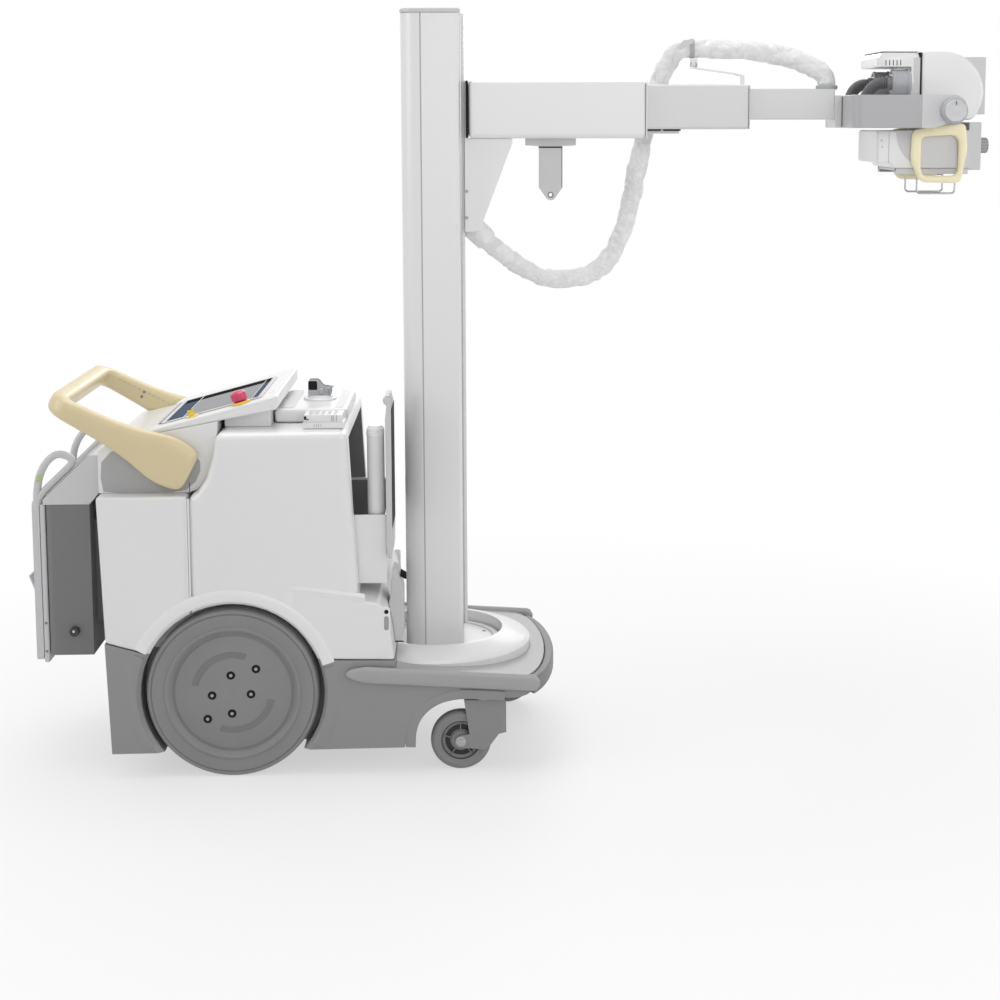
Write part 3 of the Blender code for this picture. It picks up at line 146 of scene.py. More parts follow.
class Finish:
    # one material: its shader, and the ways in which detail is added to it

    def __init__(self, name, colour, roughness=0.5, metallic=0.0, coat=0.0):
        self.material = bpy.data.materials.new(name)
        self.material.use_nodes = True
        self.tree = self.material.node_tree
        self.shader = self.tree.nodes["Principled BSDF"]
        self.colour = (*colour, 1)
        self.roughness = roughness
        self.shader.inputs["Base Color"].default_value = self.colour
        self.shader.inputs["Roughness"].default_value = roughness
        self.shader.inputs["Metallic"].default_value = metallic
        self.shader.inputs["Coat Weight"].default_value = coat
        self.shader.inputs["Coat Roughness"].default_value = 0.15
        self.material.diffuse_color = self.colour
        self.place = self.node("ShaderNodeTexCoord", output="Object")

    def node(self, kind, settings=None, values=None, output=0):
        made = self.tree.nodes.new(kind)
        for name, value in (settings or {}).items():
            setattr(made, name, value)
        for name, value in (values or {}).items():
            if isinstance(value, Sock):
                self.tree.links.new(value.socket, made.inputs[name])
            else:
                made.inputs[name].default_value = value
        return Sock(self.tree, made.outputs[output])

    def wire(self, name, value):
        self.tree.links.new(value.socket, self.shader.inputs[name])

    def noise(self, scale, detail=2.0, stretch=None, distortion=0.0):
        where = self.place
        if stretch:
            where = self.node("ShaderNodeVectorMath", {"operation": "MULTIPLY"}, {0: where, 1: stretch})
        values = {"Vector": where, "Scale": scale, "Detail": detail, "Distortion": distortion}
        return self.node("ShaderNodeTexNoise", None, values, "Fac")

    def cells(self, scale):
        return self.node("ShaderNodeTexVoronoi", None, {"Vector": self.place, "Scale": scale}, "Distance")

    def axis(self, letter):
        return self.node("ShaderNodeSeparateXYZ", None, {"Vector": self.place}, letter)

    def tint(self, change):
        # the finish's own colour, darker or lighter
        return tuple(min(1.0, channel * change) for channel in self.colour[:3]) + (1,)

    def mix(self, share, first, second):
        return self.node("ShaderNodeMix", {"data_type": "RGBA"}, {0: share, 6: first, 7: second}, 2)

    def vary(self, patches, darker, lighter=1.0):
        # colour wanders between two tints of the finish
        colour = self.mix(patches, self.tint(darker), self.tint(lighter))
        self.wire("Base Color", colour)
        return colour

    def creasesAndEdges(self, colour, creaseDarkening, edgeLight):
        # faintly darker in corners and creases, faintly paler on sharp edges
        ridge = self.node("ShaderNodeNewGeometry", output="Pointiness")
        sharpEdges = ridge.share(0.52, 0.6)
        creased = ridge.share(0.48, 0.42)
        creaseDarkened = self.mix(creased * creaseDarkening, colour, self.tint(0.62))
        self.wire("Base Color", self.mix(sharpEdges * edgeLight, creaseDarkened, self.tint(1.25)))

    def sheen(self, patches, change):
        self.wire("Roughness", patches * change + (self.roughness - change / 2))

    def bump(self, height, strength, distance=0.001):
        values = {"Height": height, "Strength": strength, "Distance": distance}
        self.wire("Normal", self.node("ShaderNodeBump", None, values))


finishes = {}
paints = {
    # name: colour, roughness, coat, strength of the paint's orange peel, slot
    "white": ((0.8, 0.8, 0.8), 0.34, 0.25, 0.05, "white"),
    "trimWhite": ((0.82, 0.82, 0.82), 0.34, 0.25, 0.05, "white"),
    # painted shade: a darker copy of the white paint for the arm's middle and inner sections
    "armGrey": ((0.665, 0.665, 0.67), 0.34, 0.25, 0.05, "white"),
    "light_grey": ((0.6, 0.6, 0.61), 0.42, 0.1, 0.06, "light_grey"),
    "railGrey": ((0.36, 0.36, 0.365), 0.36, 0.15, 0.05, "light_grey"),
    "deckGrey": ((0.38, 0.38, 0.385), 0.4, 0.1, 0.06, "light_grey"),
    "casterGrey": ((0.25, 0.25, 0.255), 0.42, 0.1, 0.06, "fork_grey"),
    # painted shade for the pockets round the push handle's ends
    "pocketGrey": ((0.4, 0.4, 0.405), 0.42, 0.1, 0.06, "base_grey"),
    "base_grey": ((0.275, 0.275, 0.28), 0.46, 0.08, 0.08, "base_grey"),
    "fork_grey": ((0.42, 0.42, 0.43), 0.38, 0.1, 0.06, "fork_grey"),
}
plastics = {
    # name: colour, roughness, coat, grain size, grain depth
    "bin_grey": ((0.18, 0.18, 0.185), 0.5, 0.05, 900.0, 0.1),
    "cream": ((0.715, 0.6, 0.365), 0.38, 0.2, 700.0, 0.06),
    "dark": ((0.035, 0.035, 0.038), 0.48, 0.0, 800.0, 0.12),
    "red": ((0.62, 0.03, 0.11), 0.3, 0.4, 500.0, 0.04),
}
smallFinishes = {
    # name: colour, roughness, coat, index of refraction, slot
    "blackSocket": ((0.02, 0.02, 0.022), 0.4, 0.0, 1.08, "dark"),
    "yellowPlastic": ((0.8, 0.58, 0.06), 0.35, 0.3, 1.5, "cream"),
    "greenMark": ((0.38, 0.62, 0.1), 0.45, 0.0, 1.5, "light_grey"),
    "keyGrey": ((0.42, 0.43, 0.45), 0.45, 0.0, 1.5, "light_grey"),
    "seamDark": ((0.05, 0.05, 0.053), 0.7, 0.0, 1.2, "dark"),
    "shadeGrey": ((0.34, 0.34, 0.35), 0.5, 0.0, 1.5, "base_grey"),
    "wheelShade": ((0.185, 0.185, 0.19), 0.55, 0.0, 1.5, "wheel_grey"),
    "screenBlue": ((0.045, 0.075, 0.14), 0.25, 0.0, 1.02, "screen"),
    "rimBlack": ((0.012, 0.012, 0.014), 0.4, 0.0, 1.01, "dark"),
    "creamPale": ((0.93, 0.85, 0.58), 0.42, 0.0, 1.5, "cream"),
    "knurledGrey": ((0.22, 0.22, 0.23), 0.45, 0.0, 1.5, "dark"),
}
steels = {
    # name: the material's name, colour, roughness, stretch of the drawing lines, slot
    "steel": ("turnedSteel", (0.6, 0.6, 0.61), 0.3, (1.0, 1.0, 1.0), "steel"),
    "chrome": ("chromeWire", (0.4, 0.4, 0.41), 0.2, (1.0, 1.0, 1.0), "steel"),
    "galvanised": ("galvanisedSheet", (0.42, 0.42, 0.43), 0.42, (1.0, 1.0, 6.0), "fork_grey"),
}


def paint(made, peel):
    cloud = made.noise(3.5, 4.0)
    spots = made.noise(55.0, 2.0)
    made.creasesAndEdges(made.vary(cloud * 0.7 + spots * 0.3, 0.965, 1.02), 0.25, 0.12)
    made.sheen(cloud * 0.5 + spots * 0.5, 0.1)
    made.bump(made.noise(420.0, 1.0) * 0.7 + made.noise(90.0, 2.0) * 0.3, peel, 0.0006)
    return made


def plastic(made, grainSize, grainDepth):
    cloud = made.noise(6.0, 3.0)
    grain = made.cells(grainSize)
    made.creasesAndEdges(made.vary(cloud * 0.8 + grain * 0.2, 0.93, 1.03), 0.3, 0.18)
    made.sheen(cloud, 0.12)
    made.bump(grain * 0.6 + made.noise(grainSize * 0.4, 2.0) * 0.4, grainDepth, 0.0005)
    return made


def plain(made, bending):
    cloud = made.noise(18.0, 3.0)
    made.vary(cloud, 0.92, 1.05)
    made.sheen(cloud, 0.1)
    made.bump(made.noise(500.0, 2.0), 0.08, 0.0004)
    made.shader.inputs["IOR"].default_value = bending
    return made


def steel(made, stretch):
    lines = made.noise(260.0, 2.0, stretch)
    made.vary(lines * 0.5 + made.noise(12.0, 3.0) * 0.5, 0.9, 1.06)
    made.wire("Roughness", lines * 0.14 + (made.roughness - 0.05))
    made.bump(lines, 0.05, 0.0003)
    return made


def rubber(made):
    cloud = made.noise(9.0, 4.0)
    made.creasesAndEdges(made.vary(cloud, 0.88, 1.06), 0.3, 0.25)
    made.sheen(cloud, 0.12)
    made.bump(made.noise(650.0, 2.0) * 0.6 + made.noise(120.0, 3.0) * 0.4, 0.18, 0.0006)
    return made


def cableRubber(made):
    cloud = made.noise(40.0, 3.0)
    made.creasesAndEdges(made.vary(cloud, 0.88, 1.1), 0.4, 0.3)
    made.sheen(cloud, 0.12)
    made.bump(made.noise(500.0, 2.0), 0.12, 0.0004)
    return made


def screenGlass(made):
    smears = made.noise(14.0, 4.0, (1.0, 2.2, 1.0), 0.6)
    made.vary(smears, 0.9, 1.15)
    made.wire("Roughness", smears * 0.1 + 0.16)
    made.shader.inputs["IOR"].default_value = 1.06
    return made


def wovenSleeve(made):
    # cover of the hoses, crumpled by the bends, with painted shade along its folds
    creases = ((made.noise(26.0, 2.0, None, 1.4) - 0.5).size() * -7.0 + 1.0).larger(0.0)
    crumpleAndShade = made.noise(30.0, 5.0, None, 1.2) * 0.55 + creases * 0.45
    threads = (made.axis("X") * 5200.0).sine() * 0.5 + (made.axis("Z") * 5200.0).sine() * 0.5
    # painted shade: the colour darkens where the crumple and creases are deep
    made.vary(crumpleAndShade * 0.85 + made.noise(240.0, 2.0) * 0.15, 1.05, 0.8)
    made.sheen(crumpleAndShade, 0.1)
    made.bump(crumpleAndShade * 0.85 + threads * 0.05 + made.noise(110.0, 3.0) * 0.1, 0.6, 0.005)
    made.shader.inputs["Sheen Weight"].default_value = 0.15
    return made


def mixFinishes():
    for name, (colour, roughness, coat, peel, slot) in paints.items():
        finishes[name] = paint(Finish(name + "Paint", colour, roughness, 0.0, coat), peel)
    for name, (colour, roughness, coat, *grain) in plastics.items():
        finishes[name] = plastic(Finish(name + "Plastic", colour, roughness, 0.0, coat), *grain)
    for name, (colour, roughness, coat, bending, slot) in smallFinishes.items():
        finishes[name] = plain(Finish(name, colour, roughness, 0.0, coat), bending)
    for name, (title, colour, roughness, stretch, slot) in steels.items():
        finishes[name] = steel(Finish(title, colour, roughness, 1.0), stretch)
    finishes["wheel_grey"] = rubber(Finish("wheelRubber", (0.245, 0.245, 0.25), 0.5))
    finishes["cable"] = cableRubber(Finish("cableRubber", (0.115, 0.115, 0.12), 0.55))
    finishes["screen"] = screenGlass(Finish("screenGlass", (0.235, 0.24, 0.25), 0.2))
    finishes["sleeve"] = wovenSleeve(Finish("sleeveFabric", (0.95, 0.95, 0.955), 0.7))


mixFinishes()
print(f"{len(finishes)} finishes mixed")


# CAD nodes: softened edges and their finish

edgeSettings = {
    # width of the rounding on hard edges, in metres
    "usual": 0.0016,
    "push_handle": 0.0,
    "hv_cable_left": 0.0,
    "hv_cable_right": 0.0,
    "body_main": 0.003,
    "body_rear": 0.003,
    "body_foot": 0.003,
    "base_frame": 0.003,
    "console": 0.004,
    "column": 0.002,
    "fork": 0.0022,
    "arm_outer": 0.003,
    "arm_mid": 0.003,
}
# nodes that look different from the rest of their slot
ownFinish = {
    "deck_plate": "deckGrey",
    "caster_fork_left": "casterGrey",
    "caster_fork_right": "casterGrey",
    "hose_stay": "trimWhite",
    # the arm's middle and inner sections take painted shade
    "arm_mid": "armGrey",
    "arm_inner": "armGrey",
}


def makeSoftener():
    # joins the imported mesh's facets and shades them smooth
    tree = bpy.data.node_groups.new("joinFacets", "GeometryNodeTree")
    for way in ("INPUT", "OUTPUT"):
        tree.interface.new_socket("Geometry", in_out=way, socket_type="NodeSocketGeometry")
    start = tree.nodes.new("NodeGroupInput")
    end = tree.nodes.new("NodeGroupOutput")
    merge = tree.nodes.new("GeometryNodeMergeByDistance")
    merge.inputs["Distance"].default_value = 0.00004
    smooth = tree.nodes.new("GeometryNodeSetShadeSmooth")
    smooth.inputs["Shade Smooth"].default_value = True
    tree.links.new(start.outputs[0], merge.inputs["Geometry"])
    tree.links.new(merge.outputs["Geometry"], smooth.inputs["Geometry"])
    tree.links.new(smooth.outputs["Geometry"], end.inputs[0])
    return tree


def soften(piece, width, segments=2, angle=32):
    if width:
        bevel = piece.modifiers.new("edges", "BEVEL")
        bevel.width = width
        bevel.segments = segments
        bevel.limit_method = "ANGLE"
        bevel.angle_limit = math.radians(angle)
        bevel.use_clamp_overlap = True
        bevel.harden_normals = False
    weigh = piece.modifiers.new("normals", "WEIGHTED_NORMAL")
    weigh.keep_sharp = True


def dressNodes(softener):
    for name, piece in nodes.items():
        slot = piece.data.materials[0].name.split(".")[0]
        piece.material_slots[0].material = finishes[ownFinish.get(name, slot)].material
        join = piece.modifiers.new("facets", "NODES")
        join.node_group = softener
        soften(piece, edgeSettings.get(name, edgeSettings["usual"]))


dressNodes(makeSoftener())
print("CAD nodes dressed")


# Ways of making a fine piece

def arc(centre, radius, start, end, count):
    made = []
    for i in range(count):
        angle = math.radians(start + (end - start) * i / (count - 1))
        made.append((centre[0] + radius * math.cos(angle), centre[1] + radius * math.sin(angle)))
    return made


def roundBox(low, high, radius, count=5):
    (x0, y0), (x1, y1) = low, high
    return [
        *arc((x1 - radius, y1 - radius), radius, 0, 90, count),
        *arc((x0 + radius, y1 - radius), radius, 90, 180, count),
        *arc((x0 + radius, y0 + radius), radius, 180, 270, count),
        *arc((x1 - radius, y0 + radius), radius, 270, 360, count),
    ]


def fillet(points, radius, count=6):
    # an outline with its corners rounded
    made = []
    for i, point in enumerate(points):
        corner, before, after = (Vector(p) for p in (point, points[i - 1], points[(i + 1) % len(points)]))
        first = corner + (before - corner).normalized() * min(radius, (before - corner).length / 2)
        last = corner + (after - corner).normalized() * min(radius, (after - corner).length / 2)
        for k in range(count):
            t = k / (count - 1)
            made.append(tuple(first * (1 - t) ** 2 + corner * (2 * t * (1 - t)) + last * t**2))
    return made


def roundedSection(half, depth, steps, power):
    # offsets of a section between an ellipse and a box
    made = []
    for i in range(steps):
        angle = 2 * math.pi * i / steps
        c, s = math.cos(angle), math.sin(angle)
        reach = 1 / (abs(c) ** power + abs(s) ** power) ** (1 / power)
        made.append((half * c * reach, depth * s * reach))
    return made


def leaving(outline, centre, angle):
    # how far from the centre a ray leaves an outline
    dx, dz = math.cos(angle), math.sin(angle)
    best = 0.0
    for (ax, az), (bx, bz) in zip(outline, outline[1:] + outline[:1]):
        ax, az, ex, ez = ax - centre[0], az - centre[1], bx - ax, bz - az
        cross = dx * ez - dz * ex
        if abs(cross) > 1e-12 and 0 <= (ax * dz - az * dx) / cross <= 1:
            best = max(best, (ax * ez - az * ex) / cross)
    return best


def routeLength(route):
    return sum((Vector(q) - Vector(p)).length for p, q in zip(route, route[1:]))


def smoothRoute(points, step):
    # evenly spaced points on the smooth curve through a route's own points
    route = [Vector(p) for p in points]
    route = [route[0] * 2 - route[1], *route, route[-1] * 2 - route[-2]]
    fine = []
    for a, b, c, d in zip(route, route[1:], route[2:], route[3:]):
        for i in range(12):
            t = i / 12
            bend = (2 * a - 5 * b + 4 * c - d) * t**2 + (3 * b - a - 3 * c + d) * t**3
            fine.append((2 * b + (c - a) * t + bend) / 2)
    fine.append(route[-2])
    length = routeLength(fine)
    count = max(2, round(length / step))
    made, walked, target = [fine[0]], 0.0, length / count
    for p, q in zip(fine, fine[1:]):
        part = (q - p).length
        while walked + part >= target and len(made) < count:
            made.append(p.lerp(q, (target - walked) / part))
            target += length / count
        walked += part
    return [*made, fine[-1]]


def headings(route):
    # each point of a route with the route's direction there
    points = [Vector(p) for p in route]
    for before, point, after in zip([points[0], *points], points, [*points[1:], points[-1]]):
        yield point, (after - before).normalized()


class Shape:
    # a mesh in the making, in metres from the column's axis; its plurals work at both sides alike

    turned = {
        "Z": Matrix.Identity(3),
        "X": Matrix.Rotation(math.pi / 2, 3, "Y"),
        "Y": Matrix.Rotation(-math.pi / 2, 3, "X"),
        "-Y": Matrix.Rotation(math.pi / 2, 3, "X"),
    }
    planes = {
        "XZ": lambda u, v, depth: (u, depth, v),
        "XY": lambda u, v, depth: (u, v, depth),
        "YZ": lambda u, v, depth: (depth, u, v),
    }

    def __init__(self):
        self.bm = bmesh.new()

    def ring(self, points):
        return [self.bm.verts.new(at(*point)) for point in points]

    def skin(self, rings, closed=False):
        following = rings[1:] + ([rings[0]] if closed else [])
        for near, far in zip(rings, following):
            for i in range(len(near)):
                j = (i + 1) % len(near)
                self.bm.faces.new((near[i], near[j], far[j], far[i]))
        if not closed:
            self.bm.faces.new(rings[0])
            self.bm.faces.new(list(reversed(rings[-1])))
        return self

    def turn(self, profile, centre, axis="Z", steps=32, closed=False, tilt=None, wave=None):
        # rings of (radius, height) about an axis; a closed profile makes a hollow ring. A third number
        # in the profile is the share of wave(step, angle, height) that its radius takes
        spin = tilt or self.turned[axis]
        rings = []
        for radius, height, *share in profile:
            points = []
            for i in range(steps):
                angle = 2 * math.pi * i / steps
                reach = radius + (share[0] * wave(i, angle, height) if wave else 0)
                flat = Vector((reach * math.cos(angle), reach * math.sin(angle), height))
                points.append(Vector(centre) + spin @ flat)
            rings.append(self.ring(points))
        return self.skin(rings, closed)

    def turns(self, profile, centre, steps=32, closed=False, wave=None):
        x, y, z = centre
        for _, sign in sides:
            self.turn(profile, (x, sign * y, z), outward[sign], steps, closed, wave=wave)
        return self

    def prism(self, outline, plane, low, high):
        # an outline in the plane XZ, XY or YZ, as thick as from low to high
        spot = self.planes[plane]
        return self.skin([self.ring([spot(u, v, depth) for u, v in outline]) for depth in (low, high)])

    def prisms(self, outline, low, high):
        for _, sign in sides:
            self.prism(outline, "XZ", *sorted((sign * low, sign * high)))
        return self

    def block(self, low, high):
        (x0, y0, z0), (x1, y1, z1) = low, high
        return self.prism([(x0, z0), (x1, z0), (x1, z1), (x0, z1)], "XZ", y0, y1)

    def blocks(self, low, high):
        (x0, y0, z0), (x1, y1, z1) = low, high
        return self.prisms([(x0, z0), (x1, z0), (x1, z1), (x0, z1)], y0, y1)

    def border(self, outer, inner, plane, low, high):
        # a flat frame between two outlines
        spot = self.planes[plane]
        corners = ((outer, low), (outer, high), (inner, high), (inner, low))
        return self.skin([self.ring([spot(u, v, depth) for u, v in line]) for line, depth in corners], True)

    def tube(self, route, radius, steps=12):
        # a round section along a route; radius may be a function of the step along it and the angle
        side, rings = None, []
        for i, (point, along) in enumerate(headings(route)):
            if side is None:
                side = along.orthogonal().normalized()
            side = (side - along * side.dot(along)).normalized()
            up = along.cross(side)
            ring = []
            for k in range(steps):
                angle = 2 * math.pi * k / steps
                reach = radius(i, angle) if callable(radius) else radius
                ring.append(point + side * (reach * math.cos(angle)) + up * (reach * math.sin(angle)))
            rings.append(self.ring(ring))
        return self.skin(rings)

    def strap(self, route, half, depth, steps=20, power=3.0):
        # a rounded flat bar along a route in an upright plane; half may be a function of the way's share
        rings, last = [], len(route) - 1
        for i, (point, along) in enumerate(headings(route)):
            across = Vector((-along.z, 0, along.x))
            section = roundedSection(half(i / last) if callable(half) else half, depth, steps, power)
            rings.append(self.ring([point + across * u + Vector((0, v, 0)) for u, v in section]))
        return self.skin(rings)

    def loop(self, outer, inner, centre, y, depth, count, steps, power):
        # a rounded frame between two outlines in an upright plane
        rings = []
        for i in range(count):
            angle = 2 * math.pi * i / count
            out, hole = leaving(outer, centre, angle), leaving(inner, centre, angle)
            c, s = math.cos(angle), math.sin(angle)
            rings.append(self.ring([
                (centre[0] + ((out + hole) / 2 + u) * c, y + v, centre[1] + ((out + hole) / 2 + u) * s)
                for u, v in roundedSection((out - hole) / 2, depth, steps, power)
            ]))
        return self.skin(rings, True)

    def sector(self, centre, profile, start, end, count):
        # a section of (radius, y) carried part of the way round a level axis
        rings = []
        for c, s in arc((0, 0), 1, start, end, count):
            rings.append(self.ring([(centre[0] + r * c, y, centre[1] + r * s) for r, y in profile]))
        return self.skin(rings)

    def shift(self, matrix):
        bmesh.ops.transform(self.bm, matrix=matrix, verts=self.bm.verts)
        return self

    def make(self, name, finish, body, rounding=0.0, segments=2, angle=35):
        bmesh.ops.recalc_face_normals(self.bm, faces=self.bm.faces)
        mesh = bpy.data.meshes.new(name)
        self.bm.to_mesh(mesh)
        self.bm.free()
        mesh.materials.append(finishes[finish].material)
        mesh.shade_smooth()
        if not rounding:
            mesh.set_sharp_from_angle(angle=math.radians(angle))
        piece = bpy.data.objects.new(name, mesh)
        scene.collection.objects.link(piece)
        if rounding:
            soften(piece, rounding, segments, angle)
        if body:
            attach(piece, body)
        return piece


def assemble(pieces, body, carry=None):
    # plain pieces from a table: finish, rounding of the edges, then their parts, each a way of Shape
    for name, (finish, rounding, *parts) in pieces.items():
        shape = Shape()
        for way, *details in parts:
            getattr(shape, way)(*details)
        if carry:
            shape.shift(carry)
        shape.make(name, finish, body, rounding)


# Hoses and head cables

hoseSettings = {
    "radius": 0.0232,
    "ringStep": 0.0042,
    "steps": 44,
    "fold": 0.0085,  # deepest fold
    "swell": 0.0045,  # highest bulge
    "endRings": 7,  # rings over which the folds fade out at an end
    "drawnIn": 0.0012,  # how much narrower the sleeve is at its ends
    "lift": 0.0012,  # what the folds take away on average
    "around": 0.55,  # size of the hose's round in the noise
    # kinds of unevenness: spread round the hose, changes in a metre, height
    "bulges": (1.0, 15, 0.0042),
    "creases": (1.7, 52, 0.0062),
    "pleats": (1.3, 22, 0.0085),
    "threads": (4.0, 130, 0.0009),
    "creaseLevel": 0.2,
    "pleatLevel": 0.35,
    "creaseSlant": 1.4,
    "pleatCount": 3,  # round the hose
    "pleatWidth": 0.6,
    "twist": 26,  # of the pleats, radians in a metre
    "twistDrift": (7, 2.6),  # changes in a metre, radians
    "lower": [
        (0.1251, 0, 1.3049), (0.131, 0, 1.2986), (0.177, 0.004, 1.262), (0.222, 0.01, 1.23),
        (0.268, 0.016, 1.206), (0.3147, 0.024, 1.1977), (0.36, 0.032, 1.199), (0.405, 0.046, 1.212),
        (0.45, 0.064, 1.248), (0.487, 0.086, 1.32), (0.512, 0.101, 1.41), (0.532, 0.106, 1.51),
        (0.553, 0.106, 1.6), (0.58, 0.099, 1.695), (0.6, 0.086, 1.744), (0.622, 0.068, 1.776),
        (0.6516, 0.06, 1.7835), (0.6596, 0.06, 1.7835),
    ],
    "upper": [
        (0.6604, 0.06, 1.7835), (0.6684, 0.06, 1.7835), (0.71, 0.057, 1.784), (0.757, 0.052, 1.781),
        (0.818, 0.045, 1.779), (0.876, 0.036, 1.768), (0.926, 0.024, 1.753), (0.966, 0.012, 1.737),
        (0.991, 0.003, 1.717), (0.999, 0, 1.699), (0.999, 0, 1.6908),
    ],
}


def sleeve(name, node, points, seed, s):
    # woven cover round the hose bundle: it bunches where the hose bends and is drawn in at both ends
    route = [points[0], *smoothRoute(points[1:-1], s["ringStep"]), points[-1]]
    drift = Vector((seed * 7.3, seed * 3.1, 0))

    def reach(i, angle):
        along = i * s["ringStep"]
        place = Vector((math.cos(angle), math.sin(angle), 0)) * s["around"]

        def uneven(kind, start=drift, slant=0.0):
            spread, changes, height = s[kind]
            return noise.noise(place * spread + start + Vector((0, 0, along * changes + slant))), height

        bulge, bulgeHeight = uneven("bulges")
        crease, creaseHeight = uneven("creases", slant=s["creaseSlant"] * math.sin(angle + seed))
        depth, pleatHeight = uneven("pleats", drift * 2)
        thread, threadHeight = uneven("threads")
        changes, swing = s["twistDrift"]
        spin = angle + along * s["twist"] + swing * noise.noise(drift + Vector((0, 0, along * changes)))
        pleat = 1 - abs(math.sin(spin * s["pleatCount"] / 2)) ** s["pleatWidth"]
        change = s["lift"] + bulgeHeight * bulge + threadHeight * thread
        change += creaseHeight * (s["creaseLevel"] - abs(crease))
        change -= pleatHeight * pleat * max(0.0, depth + s["pleatLevel"])
        held = max(-s["fold"], min(s["swell"], change))
        end = min(i, len(route) - 1 - i) / s["endRings"]
        return s["radius"] + held * min(1.0, end) - s["drawnIn"] * max(0.0, 1 - end)

    shape = Shape().tube(route, reach, s["steps"])
    piece = shape.make(name, "sleeve", None, angle=180)
    at(*points[0])
    at(*points[-1])
    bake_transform(piece)
    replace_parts(piece, node)
    way = [tuple(at(*p)) for p in route]


sleeve("hoseSleeveLower", "hose_lower", hoseSettings["lower"], 1.0, hoseSettings)
sleeve("hoseSleeveUpper", "hose_upper", hoseSettings["upper"], 2.0, hoseSettings)

cableSettings = {
    "radius": 0.0142,
    "rib": 0.001,
    "pitch": 0.0046,
    "ringsEachRib": 5,
    "steps": 28,
    "route": [
        (1.0523, 0.07, 1.628), (1.06, 0.07, 1.628), (1.068, 0.076, 1.635), (1.076, 0.086, 1.65),
        (1.083, 0.094, 1.667), (1.094, 0.1, 1.683), (1.112, 0.104, 1.693), (1.132, 0.105, 1.694),
        (1.1397, 0.105, 1.694),
    ],
}


def headCable(side, sign, s):
    points = [(x, y * sign, z) for x, y, z in s["route"]]
    step = s["pitch"] / s["ringsEachRib"]
    route = [points[0], *smoothRoute(points[1:-1], step), points[-1]]

    def reach(i, angle):
        return s["radius"] + s["rib"] * math.cos(2 * math.pi * i / s["ringsEachRib"])

    piece = Shape().tube(route, reach, s["steps"]).make(f"headCable_{side}", "cable", None, angle=180)
    at(*points[0])
    at(*points[-1])
    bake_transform(piece)
    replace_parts(piece, f"hv_cable_{side}")


for side, sign in sides:
    headCable(side, sign, cableSettings)

strapSettings = {
    "middle": (0.66, 0.06, 1.7835),
    "band": [(0.0222, -0.0055), (0.026, -0.0055), (0.026, 0.0055), (0.0222, 0.0055)],
    "tongue": [(0.626, 1.7795), (0.659, 1.7955), (0.659, 1.807), (0.634, 1.804), (0.626, 1.7895)],
    "tongueY": (0.0323, 0.0363),
    "hook": (0.664, 0.044, 1.7435),
    "hookRadius": 0.008,
    "wire": 0.0016,
}


def hoseStrap(s):
    # grey band that holds the two hoses to the stay, its tongue and its hook
    Shape().turn(s["band"], s["middle"], "X", 40, True).make("hoseStrap", "keyGrey", "arm_mid", 0.0006)
    Shape().prism(s["tongue"], "XZ", *s["tongueY"]).make("strapTongue", "light_grey", "arm_mid", 0.0012)
    x, y, z = s["hook"]
    hook = [(u, y, w) for u, w in arc((x, z), s["hookRadius"], 140, 410, 15)]
    Shape().tube(hook, s["wire"], 10).make("strapHook", "chrome", "arm_mid")


hoseStrap(strapSettings)

glandSettings = {
    "start": (0.104, 0, 1.3275),
    "end": (0.1248, 0, 1.3052),
    "cuff": [  # radius, height and how wavy
        (0.0262, -0.022, 0.0), (0.0292, -0.02, 0.0006), (0.0298, -0.006, 0.0012), (0.0294, 0.01, 0.0014),
        (0.0286, 0.026, 0.0016), (0.0278, 0.038, 0.0018), (0.0262, 0.044, 0.001), (0.0244, 0.045, 0.0),
        (0.024, 0.042, 0.0), (0.025, -0.018, 0.0),
    ],
    "endRing": [(0.0222, 0.0), (0.0277, 0.0), (0.0277, 0.007), (0.0252, 0.0085), (0.0222, 0.0085)],
    "endSpot": (0.999, 0, 1.6818),
}


def hoseGlands(s):
    # cuff that covers the lower gland, and the ring at the upper one
    def folds(i, angle, height):
        return math.sin(7 * angle + 90 * height) + 0.5 * math.sin(3 * angle - 140 * height)

    spin = (Vector(s["end"]) - Vector(s["start"])).to_track_quat("Z", "Y").to_matrix()
    cuff = Shape().turn(s["cuff"], s["start"], steps=48, closed=True, tilt=spin, wave=folds)
    cuff.make("hoseCuff", "sleeve", "carriage", angle=60)
    ring = Shape().turn(s["endRing"], s["endSpot"], "Z", 40, True)
    ring.make("hoseEndRing", "keyGrey", "arm_inner", 0.0005)


hoseGlands(glandSettings)
print("hoses and head cables laid")


# Drive wheels

